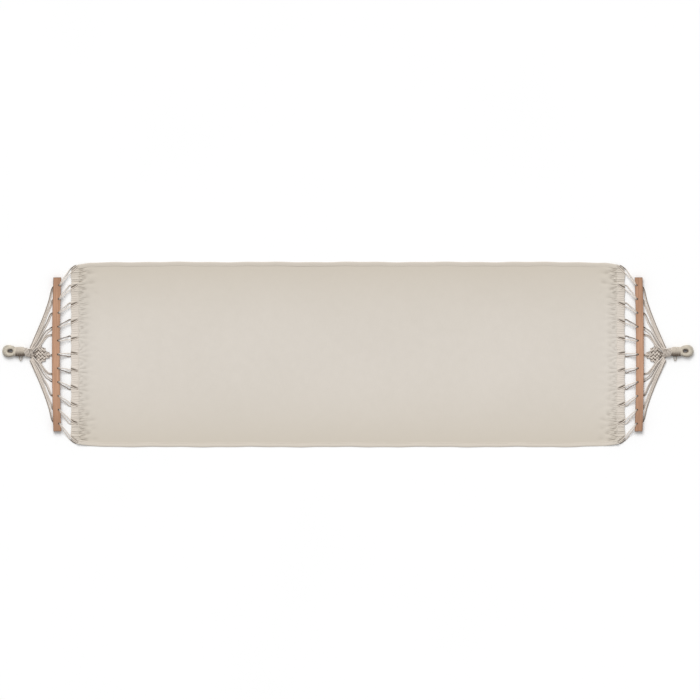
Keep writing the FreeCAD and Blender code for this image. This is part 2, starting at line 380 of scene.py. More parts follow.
class NodeTree:
    """A small helper that adds and joins shader nodes."""

    def __init__(self, tree: bpy.types.ShaderNodeTree) -> None:
        """Keeps the tree that nodes go into."""
        self.tree = tree

    def add(self, kind: str, **settings: object) -> bpy.types.Node:
        """Adds a node with its settings."""
        node = self.tree.nodes.new(kind)
        for name, value in settings.items():
            setattr(node, name, value)
        return node

    def feed(self, socket: Socket, value: Socket | float | tuple) -> None:
        """Links a socket to an input, or sets the input's value."""
        if isinstance(value, Socket):
            self.tree.links.new(value, socket)
        else:
            socket.default_value = value

    def math(self, operation: str, *values: Socket | float) -> Socket:
        """Adds a Math node and returns its value."""
        node = self.add("ShaderNodeMath", operation=operation)
        for socket, value in zip(node.inputs, values):
            self.feed(socket, value)
        return node.outputs[0]

    def times(self, first: Socket | float, second: Socket | float) -> Socket:
        """The product of two values."""
        return self.math("MULTIPLY", first, second)

    def plus(self, first: Socket | float, second: Socket | float) -> Socket:
        """The sum of two values."""
        return self.math("ADD", first, second)

    def minus(self, first: Socket | float, second: Socket | float) -> Socket:
        """The first value less the second."""
        return self.math("SUBTRACT", first, second)

    def weighted(self, *terms: tuple[Socket, float]) -> Socket:
        """Adds up values that each have a weight.

        Args:
            *terms: Each value with its weight.

        Returns:
            The sum.
        """
        total = self.times(*terms[0])
        for value, weight in terms[1:]:
            total = self.plus(total, self.times(value, weight))
        return total

    def parts(self, vector: Socket) -> bpy.types.NodeOutputs:
        """Splits a vector.

        Args:
            vector: The vector.

        Returns:
            Its X, Y and Z.
        """
        node = self.add("ShaderNodeSeparateXYZ")
        self.feed(node.inputs[0], vector)
        return node.outputs

    def painted_shade(self) -> Socket:
        """How much painted shade each point carries, as MeshMaker wrote it."""
        return self.add("ShaderNodeAttribute", attribute_name="painted_shade").outputs["Fac"]

    def noise(
        self, vector: Socket, scale: float, detail: float = 3.0, roughness: float = 0.55
    ) -> Socket:
        """Adds a Noise texture.

        Args:
            vector: Where it is read.
            scale: How fine it is.
            detail: How many finer noises are added to it.
            roughness: How strong those are.

        Returns:
            Its factor.
        """
        node = self.add("ShaderNodeTexNoise")
        self.feed(node.inputs["Vector"], vector)
        node.inputs["Scale"].default_value = scale
        node.inputs["Detail"].default_value = detail
        node.inputs["Roughness"].default_value = roughness
        return node.outputs["Fac"]

    def stretch(self, vector: Socket, scale: Point) -> Socket:
        """Scales a vector by axis."""
        node = self.add("ShaderNodeVectorMath", operation="MULTIPLY")
        self.feed(node.inputs[0], vector)
        node.inputs[1].default_value = scale
        return node.outputs[0]

    def span(
        self, value: Socket, low: float, high: float, start: float = 0.0, end: float = 1.0
    ) -> Socket:
        """Maps one span of a value to another, and holds it there.

        Args:
            value: The value.
            low: What gives start.
            high: What gives end.
            start: The result at low and below.
            end: The result at high and above.

        Returns:
            The mapped value.
        """
        node = self.add("ShaderNodeMapRange")
        self.feed(node.inputs["Value"], value)
        for name, number in (("From Min", low), ("From Max", high), ("To Min", start), ("To Max", end)):
            node.inputs[name].default_value = number
        return node.outputs[0]

    def mix(self, factor: Socket | float, first: Socket | tuple, second: Socket | tuple) -> Socket:
        """Mixes two colours.

        Args:
            factor: The share of the second colour.
            first: The first colour.
            second: The second colour.

        Returns:
            The mixed colour.
        """
        node = self.add("ShaderNodeMix", data_type="RGBA")
        self.feed(node.inputs[0], factor)
        self.feed(node.inputs[6], first)
        self.feed(node.inputs[7], second)
        return node.outputs[2]


class ShaderGroup:
    """A shader node group that is built once and placed in many materials."""

    name = "group"
    inputs: tuple[tuple[str, str, object], ...] = ()
    outputs: tuple[tuple[str, str], ...] = ()

    @classmethod
    def tree(cls) -> bpy.types.ShaderNodeTree:
        """The group's node tree, made at its first use.

        Returns:
            The tree with its inputs, outputs and nodes.
        """
        found = bpy.data.node_groups.get(cls.name)
        if found:
            return found
        made = bpy.data.node_groups.new(cls.name, "ShaderNodeTree")
        for label, kind, value in cls.inputs:
            socket = made.interface.new_socket(label, in_out="INPUT", socket_type=kind)
            if value is not None:
                socket.default_value = value
        for label, kind in cls.outputs:
            made.interface.new_socket(label, in_out="OUTPUT", socket_type=kind)
        nodes = NodeTree(made)
        cls.fill(nodes, nodes.add("NodeGroupInput").outputs, nodes.add("NodeGroupOutput").inputs)
        return made

    @classmethod
    def fill(cls, nodes: NodeTree, given: object, wanted: object) -> None:
        """Adds the group's own nodes; each kind of group says how.

        Args:
            nodes: The group's nodes.
            given: Its inputs by name.
            wanted: Its outputs by name.
        """
        raise NotImplementedError

    @classmethod
    def place(cls, nodes: NodeTree, **values: object) -> bpy.types.Node:
        """Puts the group in a material.

        Args:
            nodes: The material's nodes.
            **values: The group's inputs, with spaces written as underscores.

        Returns:
            The placed group node.
        """
        node = nodes.add("ShaderNodeGroup", node_tree=cls.tree())
        for label, value in values.items():
            nodes.feed(node.inputs[label.replace("_", " ")], value)
        return node


class PlainWeave(ShaderGroup):
    """Warp and weft threads that pass over and under each other, with slubs and thread shading."""

    name = "plain_weave"
    inputs = (
        ("Place", VECTOR, None),
        ("Threads", FLOAT, 900.0),
        ("Unevenness", FLOAT, 0.5),
    )
    outputs = (("Height", FLOAT), ("Shade", FLOAT), ("Slub", FLOAT))

    @classmethod
    def fill(cls, nodes: NodeTree, given: object, wanted: object) -> None:
        """Weaves the threads from two crossed waves.

        Args:
            nodes: The group's nodes.
            given: Its inputs by name.
            wanted: Its outputs by name.
        """
        wobble = nodes.add("ShaderNodeVectorMath", operation="MULTIPLY_ADD")
        noise = nodes.add("ShaderNodeTexNoise")
        nodes.feed(noise.inputs["Vector"], given["Place"])
        noise.inputs["Scale"].default_value = 60.0
        nodes.feed(wobble.inputs[0], noise.outputs["Color"])
        wobble.inputs[1].default_value = (0.0006, 0.0006, 0.0)
        nodes.feed(wobble.inputs[2], given["Place"])
        parts = nodes.parts(wobble.outputs[0])
        rate = nodes.times(given["Threads"], math.pi)
        warp = nodes.math("SINE", nodes.times(parts[0], rate))
        weft = nodes.math("SINE", nodes.times(parts[1], rate))
        over = nodes.times(warp, weft)
        round_warp = nodes.math("ABSOLUTE", warp)
        round_weft = nodes.math("ABSOLUTE", weft)
        chosen = nodes.math("GREATER_THAN", over, 0.0)
        raised_weft = nodes.times(nodes.minus(1.0, chosen), round_weft)
        height = nodes.plus(nodes.times(chosen, round_warp), raised_weft)
        slub_x = nodes.noise(nodes.stretch(given["Place"], (30.0, 900.0, 1.0)), 1.0, 2.0)
        slub_y = nodes.noise(nodes.stretch(given["Place"], (900.0, 30.0, 1.0)), 1.0, 2.0)
        slub = nodes.times(nodes.plus(slub_x, slub_y), 0.5)
        nodes.feed(wanted["Height"], height)
        nodes.feed(wanted["Slub"], slub)
        uneven = nodes.times(nodes.minus(slub, 0.5), given["Unevenness"])
        nodes.feed(wanted["Shade"], nodes.plus(nodes.span(height, 0.0, 1.0, 0.35, 0.6), uneven))


class ToneDrift(ShaderGroup):
    """Slow changes of tone over a surface, as washing, handling and weather leave."""

    name = "tone_drift"
    inputs = (("Place", VECTOR, None), ("Scale", FLOAT, 6.0))
    outputs = (("Broad", FLOAT), ("Fine", FLOAT))

    @classmethod
    def fill(cls, nodes: NodeTree, given: object, wanted: object) -> None:
        """Takes two noises, one ten times as fine as the other.

        Args:
            nodes: The group's nodes.
            given: Its inputs by name.
            wanted: Its outputs by name.
        """
        for label, times in (("Broad", 1.0), ("Fine", 10.0)):
            node = nodes.add("ShaderNodeTexNoise")
            nodes.feed(node.inputs["Vector"], given["Place"])
            nodes.feed(node.inputs["Scale"], nodes.times(given["Scale"], times))
            node.inputs["Detail"].default_value = 4.0
            nodes.feed(wanted[label], node.outputs["Fac"])


class LongGrain(ShaderGroup):
    """Wood grain along Y: growth rings cut lengthwise, fine pores and darker streaks."""

    name = "long_grain"
    inputs = (("Place", VECTOR, None), ("Waviness", FLOAT, 1.0))
    outputs = (("Rings", FLOAT), ("Pores", FLOAT), ("Streaks", FLOAT))

    @classmethod
    def fill(cls, nodes: NodeTree, given: object, wanted: object) -> None:
        """Draws the grain from noises that are stretched along the bar.

        Args:
            nodes: The group's nodes.
            given: Its inputs by name.
            wanted: Its outputs by name.
        """
        drift = nodes.noise(nodes.stretch(given["Place"], (14.0, 2.2, 14.0)), 1.0, 2.0)
        parts = nodes.parts(given["Place"])
        bent = nodes.times(nodes.times(drift, given["Waviness"]), 26.0)
        across = nodes.plus(nodes.times(parts[0], 900.0), bent)
        deep = nodes.plus(across, nodes.times(parts[2], 500.0))
        nodes.feed(wanted["Rings"], nodes.span(nodes.math("SINE", deep), -1.0, 1.0))
        pores = nodes.noise(nodes.stretch(given["Place"], (2600.0, 90.0, 2600.0)), 1.0, 2.0, 0.7)
        nodes.feed(wanted["Pores"], nodes.span(pores, 0.56, 0.72))
        streaks = nodes.noise(nodes.stretch(given["Place"], (260.0, 7.0, 260.0)), 1.0, 4.0, 0.6)
        nodes.feed(wanted["Streaks"], nodes.span(streaks, 0.3, 0.75))


class SpunFibre(ShaderGroup):
    """The fine yarns of a cord, which run at a slant round it, and its stray fibres."""

    name = "spun_fibre"
    inputs = (("Along", VECTOR, None), ("Place", VECTOR, None), ("Yarns", FLOAT, 14.0))
    outputs = (("Yarn", FLOAT), ("Fluff", FLOAT))

    @classmethod
    def fill(cls, nodes: NodeTree, given: object, wanted: object) -> None:
        """Draws slanting lines from the UVs and fluff from a noise.

        Args:
            nodes: The group's nodes.
            given: Its inputs by name.
            wanted: Its outputs by name.
        """
        parts = nodes.parts(given["Along"])
        turn = nodes.minus(parts[0], nodes.times(parts[1], 2.0))
        line = nodes.math("SINE", nodes.times(nodes.times(turn, given["Yarns"]), TAU))
        nodes.feed(wanted["Yarn"], nodes.span(line, -1.0, 1.0))
        nodes.feed(wanted["Fluff"], nodes.noise(given["Place"], 900.0, 4.0, 0.7))


# ---------------------------------------------------------------- finishes


def blank(name: str) -> tuple[bpy.types.Material, NodeTree, bpy.types.Node, Socket]:
    """A new material.

    Args:
        name: Its name.

    Returns:
        The material, its nodes, its Principled node and the object's own coordinates.
    """
    material = bpy.data.materials.new(name)
    material.use_nodes = True
    nodes = NodeTree(material.node_tree)
    shader = next(n for n in material.node_tree.nodes if n.type == "BSDF_PRINCIPLED")
    return material, nodes, shader, nodes.add("ShaderNodeTexCoord").outputs["Object"]


def bump(nodes: NodeTree, height: Socket, strength: float, distance: float) -> Socket:
    """A bump from a height.

    Args:
        nodes: The material's nodes.
        height: The height.
        strength: How much of it shows.
        distance: What a height of 1 stands for, in metres.

    Returns:
        The bumped normal.
    """
    node = nodes.add("ShaderNodeBump")
    node.inputs["Strength"].default_value = strength
    node.inputs["Distance"].default_value = distance
    nodes.feed(node.inputs["Height"], height)
    return node.outputs["Normal"]


@dataclass(frozen=True)
class CanvasFinish:
    """Unbleached cotton canvas."""

    name: str
    light: Colour = (0.700, 0.650, 0.590, 1.0)
    shade: Colour = (0.620, 0.574, 0.512, 1.0)
    rim: Colour = (0.585, 0.528, 0.445, 1.0)
    # Colour of the painted shade in creases, slits and valleys.
    painted_shade: Colour = (0.200, 0.160, 0.125, 1.0)
    half_width: float = 0.402
    threads: float = 820.0
    roughness: float = 0.92
    sheen: float = 0.18

    def material(self) -> bpy.types.Material:
        """The canvas as a material.

        Returns:
            The new material.
        """
        material, nodes, shader, place = blank(self.name)
        weave = PlainWeave.place(nodes, Place=place, Threads=self.threads, Unevenness=0.8)
        drift = ToneDrift.place(nodes, Place=place, Scale=2.4)
        fine = nodes.minus(drift.outputs["Fine"], 0.5)
        tone = nodes.weighted((weave.outputs["Shade"], 0.7), (drift.outputs["Broad"], 0.3), (fine, 0.2))
        colour = nodes.mix(nodes.span(tone, 0.25, 0.75), self.shade, self.light)
        # Painted light and shade across the bed: lighter in the middle, darker and warmer towards the long
        # edges.
        across = nodes.math("ABSOLUTE", nodes.math("DIVIDE", nodes.parts(place)[1], self.half_width))
        painted_rim_shade = nodes.times(nodes.math("POWER", across, 2.2), 0.9)
        colour = nodes.mix(painted_rim_shade, colour, self.rim)
        # Mixes in the painted shade that the mesh carries.
        nodes.feed(shader.inputs["Base Color"], nodes.mix(nodes.painted_shade(), colour, self.painted_shade))
        slub = weave.outputs["Slub"]
        rough = nodes.span(slub, 0.3, 0.7, self.roughness - 0.06, self.roughness + 0.06)
        nodes.feed(shader.inputs["Roughness"], rough)
        height = nodes.plus(weave.outputs["Height"], nodes.times(slub, 0.8))
        nodes.feed(shader.inputs["Normal"], bump(nodes, height, 0.35, 0.0005))
        shader.inputs["Sheen Weight"].default_value = self.sheen
        shader.inputs["Specular IOR Level"].default_value = 0.2
        return material


@dataclass(frozen=True)
class WoodFinish:
    """Oiled hardwood, darker along its eased edges."""

    name: str = "oiled_wood"
    light: Colour = (0.585, 0.325, 0.200, 1.0)
    dark: Colour = (0.300, 0.156, 0.086, 1.0)
    edge: Colour = (0.190, 0.098, 0.055, 1.0)
    centre_x: float = 1.260
    bow: float = 0.006
    half_width: float = 0.017
    half_length: float = 0.334
    side_darkening: tuple[float, float] = (0.0044, 0.0002)
    end_darkening: tuple[float, float] = (0.005, 0.0005)

    def material(self) -> bpy.types.Material:
        """The wood as a material.

        Returns:
            The new material.
        """
        material, nodes, shader, place = blank(self.name)
        grain = LongGrain.place(nodes, Place=place, Waviness=1.0)
        drift = ToneDrift.place(nodes, Place=place, Scale=9.0)
        rings, streaks, pores = (grain.outputs[label] for label in ("Rings", "Streaks", "Pores"))
        tone = nodes.weighted((rings, 0.22), (streaks, 0.5), (drift.outputs["Broad"], 0.4))
        parts = nodes.parts(place)
        end = nodes.math("ABSOLUTE", parts[1])
        tone = nodes.plus(tone, nodes.span(end, 0.04, self.half_length, -0.10, 0.22))
        colour = nodes.mix(nodes.span(tone, 0.25, 0.95), self.light, self.dark)
        outermost = self.centre_x + self.bow
        squared = nodes.math("POWER", end, 2.0)
        bowed = nodes.span(squared, 0.0, self.half_length**2, outermost, self.centre_x)
        side = nodes.math("ABSOLUTE", nodes.minus(nodes.math("ABSOLUTE", parts[0]), bowed))
        # Darker along the long sides and at the ends, in uneven patches.
        side_from, side_to = (self.half_width - inset for inset in self.side_darkening)
        end_from, end_to = (self.half_length - inset for inset in self.end_darkening)
        near_side = nodes.span(side, side_from, side_to, 0.0, 0.8)
        near_end = nodes.span(end, end_from, end_to, 0.0, 0.9)
        darkened = nodes.math("MAXIMUM", near_side, near_end)
        darkened_patchily = nodes.times(darkened, nodes.span(drift.outputs["Fine"], 0.3, 0.7, 0.6, 1.0))
        colour = nodes.mix(darkened_patchily, colour, self.edge)
        colour = nodes.mix(nodes.times(pores, 0.35), colour, self.edge)
        nodes.feed(shader.inputs["Base Color"], colour)
        nodes.feed(shader.inputs["Roughness"], nodes.span(streaks, 0.0, 1.0, 0.42, 0.58))
        height = nodes.minus(nodes.times(rings, 0.3), pores)
        nodes.feed(shader.inputs["Normal"], bump(nodes, height, 0.4, 0.0003))
        shader.inputs["Coat Weight"].default_value = 0.08
        return material


@dataclass(frozen=True)
class CordFinish:
    """Cotton cord: pale yarns, with painted shade in the hollows between them and on their shaded sides.
    """

    name: str
    light: Colour
    dark: Colour
    # Colour of the painted shade.
    painted_shade: Colour = (0.105, 0.068, 0.044, 1.0)
    yarns: float = 12.0
    roughness: float = 0.9

    def material(self) -> bpy.types.Material:
        """The cord as a material.

        Returns:
            The new material.
        """
        material, nodes, shader, place = blank(self.name)
        along = nodes.add("ShaderNodeUVMap", uv_map="UVMap").outputs["UV"]
        fibre = SpunFibre.place(nodes, Along=along, Place=place, Yarns=self.yarns)
        drift = ToneDrift.place(nodes, Place=place, Scale=22.0)
        yarn, fluff = fibre.outputs["Yarn"], fibre.outputs["Fluff"]
        tone = nodes.weighted((yarn, 0.35), (fluff, 0.45), (drift.outputs["Broad"], 0.35))
        colour = nodes.mix(nodes.span(tone, 0.25, 0.9), self.dark, self.light)
        # Mixes in the painted shade that the mesh carries.
        nodes.feed(shader.inputs["Base Color"], nodes.mix(nodes.painted_shade(), colour, self.painted_shade))
        rough = nodes.span(fluff, 0.3, 0.7, self.roughness - 0.08, self.roughness + 0.08)
        nodes.feed(shader.inputs["Roughness"], rough)
        height = nodes.plus(yarn, nodes.times(fluff, 0.8))
        nodes.feed(shader.inputs["Normal"], bump(nodes, height, 0.6, 0.0003))
        shader.inputs["Sheen Weight"].default_value = 0.25
        shader.inputs["Specular IOR Level"].default_value = 0.2
        return material


CANVAS = CanvasFinish("canvas")
HEM = CanvasFinish(
    "canvas_hem",
    light=(0.730, 0.665, 0.600, 1.0),
    shade=(0.640, 0.575, 0.505, 1.0),
    rim=(0.62, 0.565, 0.49, 1.0),
)
THREAD = CordFinish("hem_thread", (0.84, 0.79, 0.71, 1.0), (0.68, 0.62, 0.54, 1.0))
CORD = CordFinish("cotton_cord", (0.91, 0.83, 0.75, 1.0), (0.74, 0.655, 0.57, 1.0))
SERVING = CordFinish("serving_cord", (0.80, 0.74, 0.63, 1.0), (0.58, 0.52, 0.42, 1.0))
WHIPPING = CordFinish("whipping_cord", (0.78, 0.71, 0.62, 1.0), (0.54, 0.47, 0.38, 1.0))


@dataclass
class Finishes:
    """Every finish of the hammock, each made once."""

    canvas: bpy.types.Material = field(default_factory=CANVAS.material)
    hem: bpy.types.Material = field(default_factory=HEM.material)
    thread: bpy.types.Material = field(default_factory=THREAD.material)
    wood: bpy.types.Material = field(default_factory=WoodFinish().material)
    cord: bpy.types.Material = field(default_factory=CORD.material)
    serving: bpy.types.Material = field(default_factory=SERVING.material)
    whipping: bpy.types.Material = field(default_factory=WHIPPING.material)


# ---------------------------------------------------------------- the fan of cords


@dataclass(frozen=True)
class Fan:
    """Where the cords of one end run in plan, counted from the middle one."""

    each_side: int = 5
    hole_out: float = 1250.0
    hole_pitch: float = 60.0
    bar_bow: float = 6.0
    bar_half: float = 334.0
    slope: float = 0.2
    slit_out: float = 1178.0
    slit_start: float = 1197.0
    slit_end: float = 1172.0
    slit_starts: tuple[float, ...] = (6.0, 66.0, 139.0, 214.0, 289.0, 362.0)
    slit_ends: tuple[float, ...] = (2.0, 72.5, 149.5, 223.5, 301.0, 380.0)

    @property
    def numbers(self) -> range:
        """The cords' numbers, from -5 to 5."""
        return range(-self.each_side, self.each_side + 1)

    def bow(self, across: np.ndarray | float) -> np.ndarray | float:
        """How far outward the bar bows at a distance across the bed."""
        return self.bar_bow * (1 - (np.asarray(across, float) / self.bar_half) ** 2)

    def across(self, number: int, out: float) -> float:
        """How far across the bed a cord is at a distance out."""
        return self.hole_pitch * number + (self.hole_out - out) * self.slope * number

    @staticmethod
    def side(number: int) -> float:
        """The side of the middle that a cord is on; the middle cord leans to the front."""
        return 1.0 if number > 0 else -1.0

    def slit(self, number: int) -> tuple[np.ndarray, np.ndarray]:
        """Where a cord's slit in the end band starts and ends.

        Args:
            number: The cord's number.

        Returns:
            The start and the end, each as (out, across).
        """
        rank, side = abs(number), -1.0 if number < 0 else 1.0
        outer = np.array([self.slit_start, side * self.slit_starts[rank]])
        return outer, np.array([self.slit_end, side * self.slit_ends[rank]])


FAN = Fan()


# ---------------------------------------------------------------- bed


@dataclass
class BedShape:
    """The bed's outline and the way its cloth gathers at each cord."""

    half_length: float = 1201.5
    half_width: float = 402.0
    rim_out: tuple[float, ...] = (
        858.0, 1000.0, 1118.0, 1149.0, 1161.0, 1171.0, 1183.0, 1191.0, 1196.0, 1199.5, 1201.2, 1201.5
    )
    rim_across: tuple[float, ...] = (
        402.0, 401.5, 398.0, 394.0, 391.5, 388.5, 383.0, 377.5, 372.0, 366.0, 359.0, 348.0
    )
    band_width: float = 35.5
    ramp: float = 66.0
    lift: float = 5.6
    gather_reach: float = 58.0
    gather_height: float = 1.5
    pleat_height: float = 1.3
    crease_height: float = 0.6
    scallop_depth: float = 2.6
    seed: int = 7

    @property
    def hem_out(self) -> float:
        """How far out the inner edge of the end band is."""
        return self.half_length - self.band_width

    def __post_init__(self) -> None:
        """Draws the gathers' phases once, so that every run is the same."""
        draw = np.random.default_rng(self.seed)
        self.phases = draw.uniform(0, TAU, (11, 4))
        self.counts = draw.uniform(12.0, 17.0, 11)

    def edge_across(self, out: np.ndarray) -> np.ndarray:
        """The half width of the bed at a distance out, with its rounded corners."""
        return np.interp(out, self.rim_out, self.rim_across)

    def edge_out(self, across: np.ndarray) -> np.ndarray:
        """How far out the end edge is, pulled in between the cords.

        Args:
            across: Distances across the bed.

        Returns:
            The distance out at each.
        """
        across = np.asarray(across, float)
        round_part = np.interp(np.abs(across), self.rim_across[::-1], self.rim_out[::-1])
        pitch = FAN.across(1, self.half_length)
        scallop = self.scallop_depth * np.sin(math.pi * across / pitch) ** 2
        return round_part - scallop * smoothstep(-np.abs(across), -372.0, -350.0)

    def gathers(self, out: np.ndarray, across: np.ndarray) -> np.ndarray:
        """The height of the creases that run into the bed from each cord.

        Args:
            out: Distances out.
            across: Distances across, of the same shape.

        Returns:
            Heights in millimetres, about zero.
        """
        total = np.zeros(np.broadcast(out, across).shape)
        for index, number in enumerate(FAN.numbers):
            inward = FAN.slit_out - 6.0 - out
            aside = across - FAN.across(number, FAN.slit_out)
            reach = np.hypot(np.maximum(inward, 0.0) + 3.0, aside)
            bearing = np.arctan2(aside, np.maximum(inward, -2.0) + 16.0)
            p = self.phases[index]
            rays = np.sin(self.counts[index] * bearing + p[0] + 0.5 * np.sin(reach / 17.0 + p[1]))
            rays = np.sign(rays) * np.abs(rays) ** 0.7
            fade = np.exp(-((reach / self.gather_reach) ** 1.35)) * smoothstep(reach, 1.0, 12.0)
            total += rays * fade * (0.75 + 0.25 * np.sin(reach / 9.0 + p[2]))
        drift = across + (out - 1170.0) * 0.2 * across / 300.0
        patch = 0.5 + 0.5 * np.sin(across / 41.0 + 0.9 * np.sin(across / 13.0))
        reach = smoothstep(out, 1112.0 + 24.0 * patch, 1156.0)
        outside = smoothstep(np.abs(across), 40.0, 130.0)
        pleat = np.sin(drift / 1.2 + 1.2 * np.sin(across / 23.0) + 0.5 * np.sin(out / 15.0)) * reach
        bend = 1.7 * np.sin(across / 31.0) + 0.8 * np.sin(out / 21.0 + across / 17.0)
        crease = np.sin(drift / 3.1 + bend)
        corner = 0.65 + 0.75 * smoothstep(np.abs(across), 180.0, 340.0)
        pleats = self.pleat_height * (0.25 + 0.75 * outside) * pleat
        creases = self.crease_height * (0.3 + 0.7 * outside) * crease * reach
        return corner * (self.gather_height * total + (pleats + creases))

    def soft_waves(self, x: np.ndarray, y: np.ndarray) -> np.ndarray:
        """The faint unevenness of cloth laid flat on the ground.

        Args:
            x: Places along X.
            y: Places along Y, of the same shape.

        Returns:
            The height at each, in millimetres.
        """
        wave = 0.25 * np.sin(x / 140.0 + 0.6 * np.sin(y / 90.0)) + 0.2 * np.sin(y / 75.0 + x / 310.0)
        return wave + 0.45


def bend_at_fold(piece: bpy.types.Object) -> None:
    """Bakes a piece of the bed's placement into its mesh."""
    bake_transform(piece)


@dataclass
class BedCloth:
    """The one sheet of canvas between the hems."""

    shape: BedShape
    finishes: Finishes
    thickness: float = 1.1
    tuck: float = 7.0
    under_hem: float = 8.0

    def stations(self) -> np.ndarray:
        """Places along X: close together at the gathers and at the fold, wide apart elsewhere.

        Returns:
            The places, from one end of the bed to the other.
        """
        end = self.shape.hem_out + self.tuck
        fine = np.arange(end - 128.0, end + 0.1, 3.2)
        middle = np.linspace(90.0, end - 128.0, 26)[:-1]
        fold = np.linspace(0.0, 90.0, 10)[:-1]
        half = np.concatenate([fold, middle, fine])
        return np.concatenate([-half[:0:-1], half])

    def height(self, x: np.ndarray, y: np.ndarray) -> np.ndarray:
        """The height of the cloth's underside.

        Args:
            x: Places along X.
            y: Places along Y, of the same shape.

        Returns:
            The height at each, in millimetres.
        """
        out = np.abs(x)
        hem = self.shape.hem_out
        rise = smoothstep(out, hem - self.shape.ramp, hem)
        flat = self.shape.soft_waves(x, y) * (1 - rise)
        gathers = self.shape.gathers(out, y) * smoothstep(out, hem - 100.0, hem - 60.0)
        return np.maximum(self.shape.lift * rise + flat + gathers, 0.05)

    def build(self) -> bpy.types.Object:
        """Makes the sheet with its thickness.

        Returns:
            The made piece.
        """
        x = self.stations()
        t = np.linspace(-1.0, 1.0, 309)
        half = self.shape.edge_across(np.abs(x)) - self.under_hem
        grid_x = np.repeat(x[:, None], len(t), axis=1)
        grid_y = half[:, None] * t[None]
        grid = np.stack([grid_x, grid_y, self.height(grid_x, grid_y)], axis=2)
        top = grid + (0.0, 0.0, self.thickness)
        gathers = self.shape.gathers(np.abs(grid_x), grid_y)
        near_band = smoothstep(np.abs(grid_x), 1118.0, 1135.0)
        # Painted shade in the valleys of the gathers, and a faint darkening near the end band.
        painted_shade_at_gathers = 0.36 * smoothstep(-gathers, 0.1, 1.5) + 0.04 * near_band
        maker = MeshMaker()
        maker.add_grid(top, flip=False, shade=painted_shade_at_gathers)
        maker.add_grid(grid, flip=True)
        self.close_rim(maker, top, grid)
        made = maker.make("bed_canvas", self.finishes.canvas)
        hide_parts("bed_canvas_left", "bed_canvas_right")
        bend_at_fold(made)
        return made

    def close_rim(self, maker: MeshMaker, top: np.ndarray, low: np.ndarray) -> None:
        """Joins the two faces of the cloth round its edge.

        Args:
            maker: The mesh that the faces go into.
            top: The upper face's grid.
            low: The lower face's grid.
        """
        rim = [top[:, 0], top[-1], top[::-1, -1], top[0, ::-1]]
        under = [low[:, 0], low[-1], low[::-1, -1], low[0, ::-1]]
        for above, below in zip(rim, under):
            maker.add_grid(np.stack([below, above], axis=0), flip=False)


# The side hem's section, as shares of its width inward from the edge and of its thickness up.
HEM_SECTION = (
    (0.0, 0.35), (0.03, 0.75), (0.12, 0.96), (0.3, 1.0), (0.55, 0.9),
    (0.72, 0.78), (0.80, 0.62), (0.88, 0.74), (0.97, 0.78), (1.0, 0.6),
    (1.0, 0.28), (0.97, 0.05), (0.5, 0.0), (0.1, 0.0), (0.02, 0.1),
)


@dataclass
class SideHem:
    """One long edge, folded twice and stitched down, with the thread that holds it."""

    shape: BedShape
    finishes: Finishes
    side: float
    name: str
    width: float = 18.0
    thickness: float = 3.2
    stitch: float = 4.4
    seed: int = 3

    def line(self) -> np.ndarray:
        """Places along X for the strip, closer together at the fold.

        Returns:
            The places, from one end of the bed to the other.
        """
        fine = np.arange(0.0, 60.0, 8.0)
        wide = np.arange(self.shape.hem_out + 4.0, 60.0, -9.0)
        return np.concatenate([-wide, -fine[:0:-1], fine, wide[::-1]])

    def lift(self, x: np.ndarray) -> np.ndarray:
        """The height of the strip's underside."""
        hem = self.shape.hem_out
        return self.shape.lift * smoothstep(np.abs(x), hem - self.shape.ramp, hem) + 0.1

    def edge(self, x: np.ndarray) -> np.ndarray:
        """The outer edge, which wanders a little."""
        wander = 0.9 * np.sin(x / 61.0 + self.side) + 0.7 * np.sin(x / 23.0 + 2.0 * self.side)
        free = 1 - smoothstep(np.abs(x), 1100.0, 1150.0)
        return self.shape.edge_across(np.abs(x)) - 1.2 + wander * free

    def build(self) -> list[bpy.types.Object]:
        """Makes the folded strip and its row of stitches.

        Returns:
            The made pieces.
        """
        x = self.line()
        rings = np.zeros((len(x), len(HEM_SECTION), 3))
        edge, low = self.edge(x), self.lift(x)
        breathe = 1 + 0.07 * np.sin(x / 37.0) + 0.05 * np.sin(x / 11.0)
        for k, (inward, high) in enumerate(HEM_SECTION):
            rings[:, k, 0] = x
            rings[:, k, 1] = self.side * (edge - inward * self.width * (1 + 0.02 * np.sin(x / 53.0)))
            rings[:, k, 2] = low + high * self.thickness * breathe
        rings = rings if self.side < 0 else rings[:, ::-1]
        maker = MeshMaker()
        maker.add_rings(rings, x / 20.0)
        strip = maker.make(f"side_hem_{self.name}", self.finishes.hem)
        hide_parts(f"side_hem_{self.name}_left", f"side_hem_{self.name}_right")
        bend_at_fold(strip)
        thread = self.stitches()
        bend_at_fold(thread)
        return [strip, thread]

    def stitches(self) -> bpy.types.Object:
        """One row of short stitches near the inner edge of the fold.

        Returns:
            The made piece.
        """
        draw = np.random.default_rng(self.seed)
        end = self.shape.hem_out - 4.0
        maker = MeshMaker()
        t = np.linspace(0, 1, 5)
        arch = np.array([0.0, 0.35, 0.45, 0.35, 0.0])
        width = np.array([0.2, 0.38, 0.42, 0.38, 0.2])
        for x in np.arange(-end, end, self.stitch):
            jitter = draw.uniform(-0.2, 0.2, 2)
            at = np.array([x, x + self.stitch * 0.78])
            across = self.side * (self.edge(at) - 0.8 * self.width + jitter)
            high = self.lift(at) + 0.70 * self.thickness
            line = np.stack([np.interp(t, [0, 1], v) for v in (at, across, high)], axis=1)
            line[:, 2] += arch
            _, around = directions_around(line, 5)
            maker.add_rings(line[:, None] + width[:, None, None] * around, t)
        return maker.make(f"side_hem_thread_{self.name}", self.finishes.thread)


